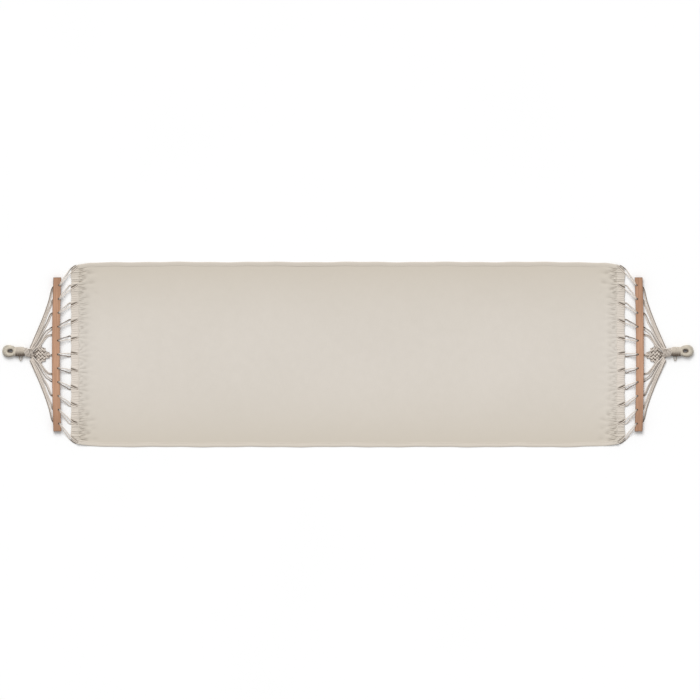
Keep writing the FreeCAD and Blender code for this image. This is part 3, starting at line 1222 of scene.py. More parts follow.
@dataclass
class EndBand:
    """The folded band across one end of the bed, puckered at each cord's slit."""

    shape: BedShape
    finishes: Finishes
    end: End
    bottom: float = 4.4
    thickness: float = 5.2
    slit_half_width: float = 6.2
    corner_slit_shade: float = 0.35

    def across_line(self) -> np.ndarray:
        """Places across the bed, from one corner to the other."""
        limit = float(self.shape.edge_across(self.shape.hem_out)) - 0.3
        return np.linspace(-limit, limit, 561)

    def pucker(self, out: np.ndarray, across: np.ndarray) -> tuple[np.ndarray, np.ndarray]:
        """How far the band sinks into each slit, less the ridges beside it, and its painted shade there.

        Args:
            out: Distances out.
            across: Distances across, of the same shape.

        Returns:
            The sinking, from about -0.4 to 1, and the painted shade, from 0 to 1.
        """
        sunk = np.zeros(np.broadcast(out, across).shape)
        dark = np.zeros_like(sunk)
        for number in FAN.numbers:
            outer, inner = FAN.slit(number)
            way = inner - outer
            reach = np.linalg.norm(way)
            way = way / reach
            along = (out - outer[0]) * way[0] + (across - outer[1]) * way[1]
            aside = (out - outer[0]) * way[1] - (across - outer[1]) * way[0]
            length = smoothstep(along, -9.0, -3.0)
            length *= 1 - smoothstep(along, reach - 1.0, reach + 4.0)
            half = self.slit_half_width * (1 - 0.35 * np.clip(along / reach, 0, 1))
            trench = 1 - smoothstep(np.abs(aside), half * 0.6, half * 1.2)
            ridge = np.exp(-(((np.abs(aside) - half * 1.8) / 2.2) ** 2))
            sunk += length * (trench - 0.42 * ridge)
            # Painted shade inside each slit, fainter at the corner cords.
            depth = length * (self.corner_slit_shade if abs(number) == FAN.each_side else 1.0)
            inside = 1 - smoothstep(np.abs(aside), half * 0.55, half * 1.05)
            dark = np.maximum(dark, depth * inside)
        return sunk, dark

    def build(self) -> bpy.types.Object:
        """Makes the band as one closed, gathered fold.

        Returns:
            The made piece.
        """
        y = self.across_line()
        inner = self.shape.hem_out - 2.0
        outer = np.maximum(self.shape.edge_out(y), inner + 3.0)
        u = (1 - np.cos(np.linspace(0, math.pi, 23))) / 2
        out = inner + (outer - inner)[:, None] * u[None]
        across = np.repeat(y[:, None], len(u), axis=1)
        round_edge = np.sqrt(np.clip(1 - (2 * u - 1) ** 4, 0, 1))[None]
        gathers = self.shape.gathers(np.minimum(out, inner - 4.0), across)
        crease = np.sin(across / 1.55 + 1.5 * np.sin(across / 19.0) + out / 9.0) * 0.35
        body = self.thickness * (0.72 + 0.10 * np.sin(across / 27.0) ** 2) + 0.55 * gathers + crease
        sunk, dark = self.pucker(out, across)
        top = self.bottom + 0.5 + round_edge * np.clip(body * (1 - 0.9 * sunk), 0.25, 9.0)
        low = np.broadcast_to(self.bottom + 0.5 - 0.45 * round_edge, out.shape)
        top_side = np.stack([out, across, top], axis=2)
        low_side = np.stack([out, across, low], axis=2)[:, ::-1]
        ring = self.end.place(np.concatenate([top_side, low_side[:, 1:-1]], axis=1))
        # Painted shade in the slits and in the valleys of the gathers and creases.
        shade = np.clip(dark + 0.14 * smoothstep(-gathers - crease, 0.1, 1.5), 0, 1)
        shade = np.concatenate([shade, np.zeros((len(y), len(u) - 2))], axis=1)
        if self.end is End.RIGHT:
            ring, shade = ring[:, ::-1], shade[:, ::-1]
        maker = MeshMaker()
        maker.add_rings(ring, y / 20.0, shade=shade)
        made = maker.make(f"end_band_{self.end.value}", self.finishes.hem)
        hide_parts(f"end_hem_{self.end.value}")
        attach(made, f"bed_{self.end.value}")
        return made

    def stitches(self) -> bpy.types.Object:
        """The row of stitches along the band's inner edge.

        Returns:
            The made piece.
        """
        maker = MeshMaker()
        inner = self.shape.hem_out + 1.2
        stock = CordStock(0.8, strands=2, lay_length=2.0, ring=5, step=0.9)
        for y in np.arange(-384.0, 384.0, 4.4):
            at = np.array([y, y + 1.7, y + 3.4])
            gathers = self.shape.gathers(np.full(3, inner - 4.0), at)
            high = self.bottom + 0.5 + self.thickness * 0.55 + 0.5 * gathers
            line = np.stack([np.full(3, inner), at, high + (0.0, 0.5, 0.0)], axis=1)
            stock.lay_along(maker, self.end.place(line))
        made = maker.make(f"end_band_thread_{self.end.value}", self.finishes.thread)
        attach(made, f"bed_{self.end.value}")
        return made


@dataclass
class Bed:
    """The whole bed: cloth, hems and bands."""

    finishes: Finishes
    shape: BedShape = field(default_factory=BedShape)

    def build(self) -> list[bpy.types.Object]:
        """Returns:
            The made pieces.
        """
        cloth = BedCloth(self.shape, self.finishes).build()
        made: list[bpy.types.Object] = []
        for side, name in ((-1.0, "front"), (1.0, "back")):
            made += SideHem(self.shape, self.finishes, side, name).build()
        for end in End:
            band = EndBand(self.shape, self.finishes, end)
            made += [band.build(), band.stitches()]
        return [cloth, *made]


# ---------------------------------------------------------------- bar and cords


@dataclass
class EndPart:
    """Something that each end of the hammock has one of."""

    finishes: Finishes
    end: End

    @property
    def place(self) -> Callable[[np.ndarray], np.ndarray]:
        """Turns (out, across, up) into X, Y, Z at this part's end."""
        return self.end.place


class SpreaderBar(EndPart):
    """The wooden bar, whose shape is the frame's own."""

    def dress(self) -> bpy.types.Object:
        """Gives the bar its wood.

        Returns:
            The bar.
        """
        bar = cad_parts[f"spreader_bar_{self.end.value}"]
        bar.data.materials.clear()
        bar.data.materials.append(self.finishes.wood)
        return bar


@dataclass
class HemCords(EndPart):
    """The doubled cords from the bar to the bed: under the band, up through its slit and back."""

    stock: CordStock = CordStock(4.2, side_shade=0.22, valley_shade=0.3)
    offset: float = 2.2
    over_bar: float = 20.75
    under_leg: tuple[float, ...] = (10.0, 80.0, 151.0, 223.0, 299.0, 365.0)
    under_shade: tuple[float, ...] = (0.75, 0.78, 0.75, 0.22, 0.10, 0.10)
    over_shade: tuple[float, ...] = (0.05, 0.05, 0.02, 0.0, 0.0, 0.0)
    bar_shade: float = 0.6
    corner_shade: float = 0.75
    slit_shade: float = 0.12
    to_front: float = 2.4
    corner_leg: tuple[tuple[float, float], ...] = ((1199.0, 373.5), (1189.0, 381.0), (1180.0, 385.5))

    def beneath(self, number: int, edge: float, inner: float) -> list[Point]:
        """The part of a cord's under leg below the band.

        Args:
            number: The cord's number.
            edge: Where the leg crosses the band's edge.
            inner: Where its slit ends.

        Returns:
            Points as (out, across, up); the last cords keep just outside the bed's corners.
        """
        if abs(number) == FAN.each_side:
            return [(out, FAN.side(number) * across, 2.7) for out, across in self.corner_leg]
        aside = inner - edge
        return [(1197.0, edge + 0.25 * aside, 2.5), (1183.0, edge + 0.75 * aside, 2.5)]

    def path(self, number: int) -> tuple[np.ndarray, np.ndarray]:
        """One cord's whole bight.

        Args:
            number: The cord's number.

        Returns:
            Points along it, and how dark it is at each.
        """
        rank, side = abs(number), FAN.side(number)
        hole = FAN.hole_pitch * number
        bow = float(FAN.bow(hole))
        hole_out = FAN.hole_out + bow
        outer, inner = FAN.slit(number)
        edge = side * self.under_leg[rank]
        lean = (edge - hole) / (hole_out - 1208.0)
        leg = hole + side * self.offset
        twin = hole - side * self.offset
        back = (outer[1] - twin) / (hole_out - outer[0])
        under = [
            (hole_out, leg, 9.0),
            (hole_out, leg, 17.4),
            (hole_out - 3.4, leg + 2.0 * lean, self.over_bar),
            (1241.5 + bow, leg + 9.0 * lean, 20.2),
            (1234.0 + bow, leg + 17.0 * lean, 15.6),
            (1221.0, edge - 12.0 * lean, 8.0),
            (1208.0, edge, 3.2),
            *self.beneath(number, edge, inner[1]),
            (1174.0, inner[1] + 0.6 * side, 3.2),
        ]
        over = [
            (1170.6, inner[1], 5.6),
            (1174.0, inner[1] - 0.8 * side, 7.6),
            (1184.0, (inner[1] + outer[1]) / 2 - self.to_front, 8.2),
            (1195.0, outer[1] - self.to_front, 9.6),
            (1203.0, outer[1] - 7.0 * back - 0.6 * self.to_front, 10.6),
            (1214.0, outer[1] - 18.0 * back, 10.0),
            (1226.0, outer[1] - 30.0 * back, 12.6),
            (1235.0 + bow, twin + 15.0 * back, 17.9),
            (1241.5 + bow, twin + 8.5 * back, 20.2),
            (hole_out - 3.4, twin + 2.0 * back, self.over_bar),
            (hole_out, twin, 17.4),
            (hole_out, twin, 9.0),
        ]
        line = smooth(under + over, self.stock.step)
        turn = int(np.argmin(line[:, 0]))
        beneath = np.arange(len(line)) <= turn
        on_bar = smoothstep(line[:, 0] - bow, 1242.0, 1250.0)
        shade = np.where(beneath, self.under_shade[rank], self.over_shade[rank])
        if rank == FAN.each_side:
            by_bed = self.corner_shade * smoothstep(-line[:, 0], -1212.0, -1198.0)
            shade = np.where(beneath, np.maximum(shade, by_bed), shade)
        shade = shade + (self.bar_shade - shade) * on_bar
        in_slit = smoothstep(-line[:, 0], -1200.0, -1190.0) * self.slit_shade
        return line, shade + np.where(beneath, 0.0, in_slit)

    def build(self) -> list[bpy.types.Object]:
        """Makes each cord.

        Returns:
            The made pieces.
        """
        made = []
        end, sign = self.end.value, self.end.sign
        for index, number in enumerate(FAN.numbers, start=1):
            maker = MeshMaker()
            line, shade = self.path(number)
            self.stock.lay_along(maker, self.place(line), start=0.13 * index, shade=shade)
            loop = maker.make(f"hem_cord_{index:02d}_{end}", self.finishes.cord)
            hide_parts(f"hem_loops_{end}", f"bar_lacing_{end}")
            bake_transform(loop)
            made.append(loop)
        return made


@dataclass
class ClewCords(EndPart):
    """The doubled cords from the bar's holes to the clew."""

    stock: CordStock = CordStock(4.2, side_shade=0.16, valley_shade=0.24)
    offset: float = 2.2
    middle: float = 1.0
    outer_shade: tuple[float, ...] = (0.15, 0.3, 0.55, 0.5, 0.1, 0.6)
    inner_shade: tuple[float, ...] = (0.15, 0.1, 0.0, 0.0, 0.0, 0.0)

    def paths(self, number: int) -> list[tuple[np.ndarray, np.ndarray]]:
        """Both legs of one cord, from inside its hole, under the bar and out to the clew.

        Args:
            number: The cord's number.

        Returns:
            For each leg, points along it and how dark it is at each.
        """
        side_of = 1.0 if number >= 0 else -1.0
        route = CLEW_ROUTES[abs(number)]
        plan = np.array([(out, side_of * across) for out, across, _, _ in route])
        plan[:, 1] += self.middle * smoothstep(plan[:, 0], 1280.0, 1330.0)
        heading = np.gradient(plan, axis=0)
        heading /= np.linalg.norm(heading, axis=1, keepdims=True)
        paths = []
        for side in (-1.0, 1.0):
            across = FAN.hole_pitch * number
            hole = (FAN.hole_out + float(FAN.bow(across)), across + self.offset * side)
            points = [(*hole, 11.0), (*hole, 5.2)]
            for (out, across), (a, b), (_, _, up, wide) in zip(plan, heading, route):
                lift = 0.4 * side * float(smoothstep(out, 1286.0, 1300.0))
                points.append((out - b * wide * side, across + a * wide * side, up + lift))
            line = smooth(points, self.stock.step)
            # Painted shade where the legs run close to and under the bar.
            near_bar = 0.5 * (1 - smoothstep(line[:, 0] - FAN.bow(line[:, 1]), 1277.0, 1287.0))
            shades = self.outer_shade if side * side_of > 0 else self.inner_shade
            paths.append((line, near_bar + shades[abs(number)]))
        return paths

    def build(self) -> list[bpy.types.Object]:
        """Makes each cord's two legs as one piece.

        Returns:
            The made pieces.
        """
        made = []
        end, sign = self.end.value, self.end.sign
        for index, number in enumerate(FAN.numbers, start=1):
            maker = MeshMaker()
            for line, shade in self.paths(number):
                self.stock.lay_along(maker, self.place(line), start=0.31 * index, shade=shade)
            legs = maker.make(f"clew_legs_{index:02d}_{end}", self.finishes.cord)
            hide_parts(f"clew_cord_{index:02d}_{end}")
            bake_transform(legs)
            made.append(legs)
        return made


# The route of each doubled cord from the bar's outer edge to the clew, counted out from the
# middle one, as (out, across, up, half the space between its legs' middles).
CLEW_ROUTES = (
    (
        (1279.0, -1.0, 2.3, 2.2), (1288.0, -3.5, 2.6, 2.2), (1298.0, -4.0, 4.8, 2.4),
        (1312.0, -2.0, 6.0, 2.6),
    ),
    (
        (1268.0, 76.0, 2.4, 2.2), (1279.0, 84.0, 2.4, 2.3), (1298.0, 82.0, 2.6, 2.6),
        (1309.0, 73.0, 3.0, 2.6), (1319.0, 61.0, 4.0, 2.4), (1331.0, 44.0, 6.0, 2.4),
        (1346.0, 24.0, 7.0, 2.3),
    ),
    (
        (1279.0, 117.0, 2.4, 3.0), (1294.0, 106.0, 2.6, 4.4), (1308.0, 95.0, 3.2, 4.6),
        (1320.0, 78.0, 4.4, 4.2), (1333.0, 57.0, 6.0, 3.4), (1346.0, 37.0, 7.6, 2.8),
        (1366.0, 16.0, 9.0, 2.3),
    ),
    (
        (1279.0, 178.0, 2.4, 2.3), (1288.0, 173.0, 2.5, 2.5), (1295.0, 158.0, 2.6, 2.8),
        (1304.0, 136.0, 3.0, 3.0), (1319.0, 109.0, 4.0, 3.0), (1334.0, 80.0, 5.6, 2.8),
        (1348.0, 54.0, 7.4, 2.5), (1372.0, 17.5, 9.6, 2.2),
    ),
    (
        (1279.0, 236.0, 2.4, 2.2), (1288.0, 214.0, 2.5, 2.2), (1298.0, 190.0, 2.6, 2.2),
        (1308.0, 165.0, 3.2, 2.2), (1329.0, 111.0, 4.2, 2.2), (1352.0, 62.0, 6.4, 2.2),
        (1366.0, 34.0, 8.4, 2.2), (1374.0, 21.5, 9.4, 2.2),
    ),
    (
        (1279.0, 289.0, 2.4, 2.2), (1294.0, 234.0, 2.6, 2.2), (1304.0, 203.0, 2.6, 2.2),
        (1313.0, 177.0, 3.0, 2.2), (1335.0, 121.0, 4.0, 2.2), (1358.0, 68.0, 6.0, 2.2),
        (1369.0, 42.0, 8.0, 2.2), (1377.0, 26.0, 9.0, 2.2),
    ),
)


# ---------------------------------------------------------------- clew, collar, neck and eye


@dataclass
class ClewWeave(EndPart):
    """The plaited diamond where the doubled cords cross over and under each other."""

    strands: int = 5
    tip: tuple[float, float] = (1291.0, -4.0)
    back: tuple[float, float] = (1333.0, 40.0)
    front: tuple[float, float] = (1333.0, -39.0)
    apex: tuple[float, float] = (1370.0, 1.0)
    low: float = 4.8
    rise_to_apex: float = 2.4
    wave: float = 2.3
    under: float = -2.5
    gap_apex: tuple[float, float] = (1368.0, 0.0)
    gap_ends: tuple[tuple[float, float], ...] = ((1343.0, 16.0), (1349.0, -13.0))
    gap_reach: float = 2.6
    doubling: float = 0.037
    jitter: float = 0.7
    seed: int = 11
    stock: CordStock = CordStock(4.0, step=1.6, side_shade=0.3, valley_shade=0.35)

    def spot(self, u: float, v: float, rise: float) -> Point:
        """A place in the plait.

        Args:
            u: From 0 to 1 across it one way, and a little outside for the turned edges.
            v: From 0 to 1 across it the other way.
            rise: How far above or below its middle layer.

        Returns:
            The place as (out, across, up).
        """
        weights = ((1 - u) * (1 - v), u * (1 - v), (1 - u) * v, u * v)
        corners = (self.tip, self.back, self.front, self.apex)
        out, across = (sum(w * c[axis] for w, c in zip(weights, corners)) for axis in range(2))
        return (out, across, self.low + self.rise_to_apex * u * v + rise)

    def gap_shade(self, line: np.ndarray) -> np.ndarray:
        """How dark each point of a line is for lying in the gap that opens from the apex.

        Args:
            line: Points as (out, across, up).

        Returns:
            The darkness at each point, from 0 to 1.
        """
        near = np.full(len(line), 1e9)
        start = np.array(self.gap_apex)
        for end in self.gap_ends:
            way = np.array(end) - start
            share = np.clip((line[:, :2] - start) @ way / (way @ way), 0.0, 1.0)
            near = np.minimum(near, np.linalg.norm(line[:, :2] - start - share[:, None] * way, axis=1))
        return 0.9 * np.exp(-((near / self.gap_reach) ** 2))

    def strand(self, index: int, leg: float, backward: bool, draw: np.random.Generator) -> list[Point]:
        """One leg of a doubled strand from the inner edge to the outer edge.

        Args:
            index: The strand's place.
            leg: Which of its two cords, -1 or 1.
            backward: Whether it runs the other way of the plait.
            draw: Where its small irregularities come from.

        Returns:
            Points as (u, v, rise).
        """
        n = self.strands
        wander = draw.normal(0, 0.011, 3)
        points = []
        for v in np.linspace(0.0, 1.0, 4 * n + 1):
            sway = wander[0] * math.sin(5 * v + 40 * wander[1])
            u = (index + 0.5) / n + leg * self.doubling * (1 - 0.25 * v) + sway
            rise = self.wave * math.cos(math.pi * (n * v - 0.5 + index)) * (-1 if backward else 1)
            points.append((u, float(v), rise + 0.25 * leg + self.jitter * float(draw.normal(0, 0.3))))
        return points

    def add_strands(
        self,
        maker: MeshMaker,
        indices: tuple[int, ...],
        leg: float,
        backward: bool,
        draw: np.random.Generator,
    ) -> None:
        """Adds one cord that runs through one strand, or through two with a turn between them.

        Args:
            maker: The mesh that it goes into.
            indices: The places of its one or two strands.
            leg: Which of the doubled cords it is, -1 or 1.
            backward: Whether it runs the other way of the plait.
            draw: Where its small irregularities come from.
        """
        n = self.strands
        first = self.strand(indices[0], -leg if len(indices) > 1 else leg, backward, draw)
        points = first[::-1]
        if len(indices) > 1:
            second = self.strand(indices[1], leg, backward, draw)
            reach = -0.055 + 0.033 * leg
            points += [(indices[1] / n, reach, 0.4 * leg), *second]
        else:
            points.append(((indices[0] + 0.5) / n + leg * self.doubling, -0.02, -1.0))
        spots = [self.spot(*((v, u, r) if backward else (u, v, r))) for u, v, r in points]
        line = smooth(spots, self.stock.step)
        keyed = np.array([(r, v) for _, v, r in points])
        at, keys = np.linspace(0, 1, len(line)), np.linspace(0, 1, len(points))
        rise, reach = (np.interp(at, keys, keyed[:, column]) for column in range(2))
        below = smoothstep(-rise, -0.6 * self.wave, 0.7 * self.wave)
        shade = 0.9 * below + 0.5 * smoothstep(reach, 0.86, 0.99)
        shade = np.maximum(shade, self.gap_shade(line))
        self.stock.lay_along(maker, self.place(line), start=0.17 * indices[0], shade=shade)

    def add_underlay(self, maker: MeshMaker, backward: bool) -> None:
        """Adds the lower cords that close the gaps of the plait, in its own shadow.

        Args:
            maker: The mesh that they go into.
            backward: Whether they run the other way of the plait.
        """
        for index in range(1, self.strands):
            u = index / self.strands
            points = [(u, float(v)) for v in np.linspace(0.04, 0.98, 7)]
            line = [self.spot(*((v, u) if backward else (u, v)), self.under) for u, v in points]
            self.stock.lay_along(maker, self.place(smooth(line, self.stock.step)), shade=0.95)

    def build(self) -> bpy.types.Object:
        """Makes every strand of the plait.

        Returns:
            The made piece.
        """
        draw = np.random.default_rng(self.seed)
        maker = MeshMaker()
        for backward in (False, True):
            for leg in (-1.0, 1.0):
                for first in range(0, self.strands, 2):
                    indices = (first, first + 1) if first + 1 < self.strands else (first,)
                    self.add_strands(maker, indices, leg, backward, draw)
            self.add_underlay(maker, backward)
        made = maker.make(f"clew_plait_{self.end.value}", self.finishes.cord)
        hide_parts(f"clew_weave_{self.end.value}")
        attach(made, f"clew_{self.end.value}")
        return made

    def apex_strands(self) -> bpy.types.Object:
        """The cords' ends, gathered from the plait into the collar.

        Returns:
            The made piece.
        """
        maker = MeshMaker()
        count = 21
        for index in range(count):
            share = 2 * (index / (count - 1)) - 1
            layer = (-1.0, 0.0, 1.0)[index % 3]
            wide = 24.0 * share
            points = [
                (1358.0 + 8.0 * (1 - abs(share)), 4.0 + wide, 7.6 + 1.6 * layer),
                (1371.0, 5.5 + 0.86 * wide, 9.0 + 2.6 * layer),
                (1384.0, 7.5 + 0.66 * wide, 11.0 + 4.4 * layer),
                (1396.0, 9.0 + 0.60 * wide, 12.2 + 6.0 * layer * (1 - 0.45 * share**2)),
                (1404.0, 10.0 + 0.58 * wide, 12.6 + 6.2 * layer * (1 - 0.45 * share**2)),
            ]
            line = smooth(points, self.stock.step)
            # Painted shade on the lower strands, on every fourth strand and under the collar.
            between = 0.55 * (1 - smoothstep(layer, -1.0, 0.6)) + (0.35 if index % 4 == 1 else 0.0)
            beside_collar = line[:, 0] - Collar.slant * (line[:, 1] - Collar.centre[1])
            under_collar = 0.7 * smoothstep(beside_collar, 1378.0, 1385.0)
            shade = np.maximum(between, under_collar)
            self.stock.lay_along(maker, self.place(line), start=0.21 * index, shade=shade)
        end, sign = self.end.value, self.end.sign
        made = maker.make(f"apex_strands_{end}", self.finishes.cord)
        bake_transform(made)
        return made


@dataclass
class Collar(EndPart):
    """The slanting turns of cord that tie the clew to the neck."""

    centre: Point = (1393.0, 9.5, 12.3)
    half_width: float = 18.4
    half_height: float = 9.8
    slant: float = 0.42
    turns: float = 3.5
    pitch: float = 5.6
    stock: CordStock = CordStock(4.2, step=1.8, side_shade=0.85, valley_shade=0.5)

    def build(self) -> bpy.types.Object:
        """Makes three and a half turns that lie at a slant.

        Returns:
            The made piece.
        """
        maker = MeshMaker()
        angle = np.linspace(0.3, 0.3 + TAU * self.turns, int(44 * self.turns))
        across = self.half_width * np.cos(angle)
        out = self.centre[0] + self.pitch * (angle / TAU - self.turns / 2) + self.slant * across
        squeeze = 1 + 0.04 * np.sin(2.3 * angle)
        up = self.centre[2] + self.half_height * np.sin(angle) * squeeze
        line = np.stack([out, self.centre[1] + across * squeeze, up], axis=1)
        line = spaced(line, self.stock.step)
        outward = oval_outward(line, self.centre, self.half_width, self.half_height)
        self.stock.lay_along(maker, self.place(line), outward=self.place(outward))
        made = maker.make(f"collar_turns_{self.end.value}", self.finishes.cord)
        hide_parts(f"collar_{self.end.value}")
        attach(made, f"collar_{self.end.value}")
        return made


@dataclass
class Neck(EndPart):
    """The whipped neck between the collar and the eye."""

    centre_across: float = 12.0
    centre_up: float = 13.1
    half_width: float = 19.0
    half_height: float = 11.0
    stock: CordStock = CordStock(3.8, step=1.9)

    def half_sizes(self, out: np.ndarray) -> tuple[np.ndarray, np.ndarray]:
        """How wide and high the turns are, which narrow towards the collar.

        Args:
            out: Distances out.

        Returns:
            The half width and half height of their middle line at each.
        """
        narrow = 1 - smoothstep(out, 1399.0, 1412.0)
        swell = 0.5 * np.sin((np.asarray(out) - 1400.0) / 13.0)
        return self.half_width - 4.2 * narrow + swell, self.half_height - 1.6 * narrow

    def build(self) -> list[bpy.types.Object]:
        """Makes the core of strands, the turns round it and the tail of the whipping.

        Returns:
            The made pieces.
        """
        end = self.end.value
        maker = MeshMaker()
        start, stop, pitch = 1403.0, 1443.0, 3.7
        turns = (stop - start) / pitch
        middle = (0.0, self.centre_across, self.centre_up)
        angle = np.linspace(0.0, TAU * turns, int(46 * turns))
        out = start + pitch * angle / TAU + 0.5 * np.sin(angle * 0.37)
        wide, high = self.half_sizes(out)
        across = self.centre_across + wide * np.cos(angle)
        up = self.centre_up + high * np.sin(angle)
        line = spaced(np.stack([out, across, up], axis=1), self.stock.step)
        outward = oval_outward(line, middle, self.half_width, self.half_height)
        # Painted shade on the front side of the turns, away from the light at the back.
        under = 0.9 * smoothstep(-(line[:, 1] - self.centre_across) / self.half_width, -0.25, 0.9)
        self.stock.lay_along(maker, self.place(line), outward=self.place(outward), shade=under)
        turns_made = maker.make(f"neck_turns_{end}", self.finishes.whipping)
        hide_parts(f"neck_whipping_{end}")
        self.bend_at_collar(turns_made)
        maker = MeshMaker()
        out = np.linspace(1401.0, 1446.0, 24)
        wide, high = self.half_sizes(out)
        ring_angle = TAU * np.arange(28) / 28
        rings = np.stack(
            [
                np.repeat(out[:, None], 28, axis=1),
                self.centre_across + (wide[:, None] - 0.7) * np.cos(ring_angle)[None],
                self.centre_up + (high[:, None] - 0.7) * np.sin(ring_angle)[None],
            ],
            axis=2,
        )
        rings = self.place(rings)
        maker.add_rings(rings if self.end is End.RIGHT else rings[:, ::-1], out / 13.0)
        core = maker.make(f"neck_strands_{end}", self.finishes.whipping)
        self.bend_at_collar(core)
        return [turns_made, core, self.tail()]

    def bend_at_collar(self, piece: bpy.types.Object) -> None:
        """Bakes a piece of the neck's placement into its mesh."""
        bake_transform(piece)

    def tail(self) -> bpy.types.Object:
        """The small bight that stands out of the whipping.

        Returns:
            The made piece.
        """
        maker = MeshMaker()
        points = [
            (1425.5, -4.0, 9.0), (1424.6, -11.0, 8.4), (1423.6, -18.0, 7.6),
            (1421.6, -24.0, 7.0), (1418.0, -26.4, 6.9), (1414.6, -23.6, 7.2),
            (1413.4, -17.5, 8.0), (1412.6, -10.5, 9.0), (1412.0, -3.0, 9.6),
        ]
        stock = CordStock(3.4, step=1.5)
        # The bight carries an even painted shade.
        stock.lay_along(maker, self.place(smooth(points, stock.step)), shade=0.35)
        made = maker.make(f"whipping_bight_{self.end.value}", self.finishes.whipping)
        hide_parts(f"whipping_tail_{self.end.value}")
        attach(made, f"eye_{self.end.value}")
        return made


@dataclass
class HangingEye(EndPart):
    """The hanging eye: a ring of strands served with close turns of cord."""

    centre: Point = (1465.5, 14.4, 10.9)
    bend: float = 15.0
    straight: float = 5.2
    tube: float = 12.4
    swell: float = 4.0
    half_height: float = 8.8
    stock: CordStock = CordStock(3.7, step=1.7)

    def ring(self, count: int) -> tuple[np.ndarray, np.ndarray]:
        """The ring's middle line: two half circles joined by straight runs.

        Args:
            count: How many points it has.

        Returns:
            The points, and the outward direction at each.
        """
        length = TAU * self.bend + 4 * self.straight
        half = math.pi * self.bend
        points, outward = [], []
        for s in np.arange(count) / count * length:
            leg, rest = divmod(s, length / 2)
            side = 1.0 if leg == 0 else -1.0
            if rest < half:
                angle = -math.pi / 2 + rest / self.bend
                spot = np.array([self.straight + self.bend * math.cos(angle), self.bend * math.sin(angle)])
                way = np.array([math.cos(angle), math.sin(angle)])
            else:
                spot = np.array([self.straight - (rest - half), self.bend])
                way = np.array([0.0, 1.0])
            points.append(side * spot)
            outward.append(side * way)
        flat = np.array(points) + self.centre[:2]
        line = np.concatenate([flat, np.full((count, 1), self.centre[2])], axis=1)
        return line, np.concatenate([np.array(outward), np.zeros((count, 1))], axis=1)

    def build(self) -> list[bpy.types.Object]:
        """Makes the core and the turns round it.

        Returns:
            The made pieces.
        """
        end = self.end.value
        turns, per_turn = 38, 40
        line, outward = self.ring(turns * per_turn)
        angle = TAU * np.arange(turns * per_turn) / per_turn
        reach = self.tube - self.stock.diameter / 2
        wobble = 1 + 0.025 * np.sin(angle * 0.31) + 0.02 * np.sin(angle * 0.173 + 1.0)
        radial = np.cos(angle)[:, None] * outward + np.sin(angle)[:, None] * np.array([0.0, 0.0, 1.0])
        far = smoothstep(line[:, 0] - self.centre[0], -12.0, 18.0)
        thick = reach + self.swell * (far - 0.6)
        flat = (thick * wobble * np.cos(angle))[:, None] * outward
        coil = line + flat + (self.half_height * wobble * np.sin(angle))[:, None] * (0.0, 0.0, 1.0)
        # Painted shade on the inner side of the ring and on its front side, away from the light.
        inside = smoothstep(-np.cos(angle), 0.35, 0.9)
        front = smoothstep(-radial[:, 1], 0.2, 0.95) * (1 - inside)
        maker = MeshMaker()
        shade = 0.85 * inside + 0.5 * front
        self.stock.lay_along(
            maker, self.place(coil), closed=True, outward=self.place(radial), shade=shade
        )
        served = maker.make(f"eye_turns_{end}", self.finishes.serving)
        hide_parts(f"eye_serving_{end}")
        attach(served, f"eye_{end}")
        core_line, _ = self.ring(64)
        maker = MeshMaker()
        thickness = 2 * (reach - 0.6 * self.swell - 0.7)
        stock = CordStock(thickness, strands=5, lay_length=60.0, depth=0.12, ring=20)
        stock.lay_along(maker, self.place(core_line), closed=True)
        core = maker.make(f"eye_strands_{end}", self.finishes.whipping)
        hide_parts(f"eye_core_{end}")
        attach(core, f"eye_{end}")
        return [served, core]


# ---------------------------------------------------------------- studio


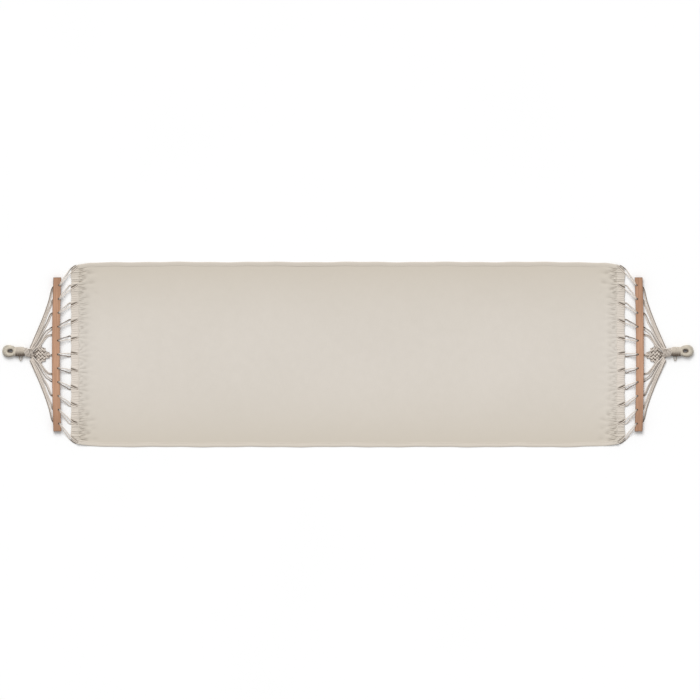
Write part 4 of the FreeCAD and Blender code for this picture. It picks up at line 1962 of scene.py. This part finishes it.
@dataclass
class Studio:
    """Pale floor, soft light and the camera straight above."""

    view_width: float = 3.0345
    view_centre: tuple[float, float] = (0.009, 0.019)
    height: float = 4.0
    floor_half_size: float = 30.0
    sky_strength: float = 0.54
    lamp_strength: float = 2.15
    lamp_angle: float = 38.0

    def build(self) -> None:
        """Sets up floor, light and camera."""
        self.floor()
        self.lights()
        self.camera()
        bpy.context.scene.view_settings.view_transform = "Standard"

    def floor(self) -> None:
        """A large matt white floor."""
        mesh = bpy.data.meshes.new("floor")
        signs = ((-1, -1), (1, -1), (1, 1), (-1, 1))
        corners = [(x * self.floor_half_size, y * self.floor_half_size, 0) for x, y in signs]
        mesh.from_pydata(corners, [], [(0, 1, 2, 3)])
        made = bpy.data.objects.new("floor", mesh)
        bpy.context.scene.collection.objects.link(made)
        material, nodes, shader, place = blank("floor_white")
        drift = ToneDrift.place(nodes, Place=place, Scale=1.5)
        nodes.feed(
            shader.inputs["Base Color"],
            nodes.mix(drift.outputs["Broad"], (0.93, 0.93, 0.93, 1.0), (0.95, 0.95, 0.95, 1.0)),
        )
        shader.inputs["Roughness"].default_value = 0.9
        shader.inputs["Specular IOR Level"].default_value = 0.1
        mesh.materials.append(material)
        made.location.z = -0.0002

    def lights(self) -> None:
        """An even white sky and one broad light from the back."""
        world = bpy.data.worlds.new("studio_sky")
        world.use_nodes = True
        sky = world.node_tree.nodes["Background"]
        sky.inputs["Color"].default_value = (1.0, 1.0, 1.0, 1.0)
        sky.inputs["Strength"].default_value = self.sky_strength
        bpy.context.scene.world = world
        lamp = bpy.data.lights.new("back_light", "SUN")
        lamp.energy = self.lamp_strength
        lamp.angle = math.radians(self.lamp_angle)
        made = bpy.data.objects.new("back_light", lamp)
        made.location = (-0.6, 2.4, 3.0)
        made.rotation_euler = (-made.location).to_track_quat("-Z", "Y").to_euler()
        bpy.context.scene.collection.objects.link(made)

    def camera(self) -> None:
        """A camera without perspective, looking straight down."""
        lens = bpy.data.cameras.new("overhead")
        lens.type = "ORTHO"
        lens.ortho_scale = self.view_width
        lens.clip_end = 20.0
        made = bpy.data.objects.new("overhead", lens)
        made.location = (*self.view_centre, self.height)
        bpy.context.scene.collection.objects.link(made)
        bpy.context.scene.camera = made


def report(pieces: list[bpy.types.Object]) -> None:
    """Logs each piece's name and size."""
    for piece in pieces:
        LOG.info("%s: %d faces", piece.name, len(piece.data.polygons))


def main() -> None:
    """Builds the studio and the hammock, piece by piece."""
    logging.basicConfig(level=logging.INFO, format="%(name)s: %(message)s")
    Studio().build()
    finishes = Finishes()
    report(Bed(finishes).build())
    for end in End:
        report([SpreaderBar(finishes, end).dress()])
        report(HemCords(finishes, end).build())
        report(ClewCords(finishes, end).build())
        weave = ClewWeave(finishes, end)
        report([weave.build(), weave.apex_strands(), Collar(finishes, end).build()])
        report(Neck(finishes, end).build())
        report(HangingEye(finishes, end).build())


if __name__ == "__main__":
    main()
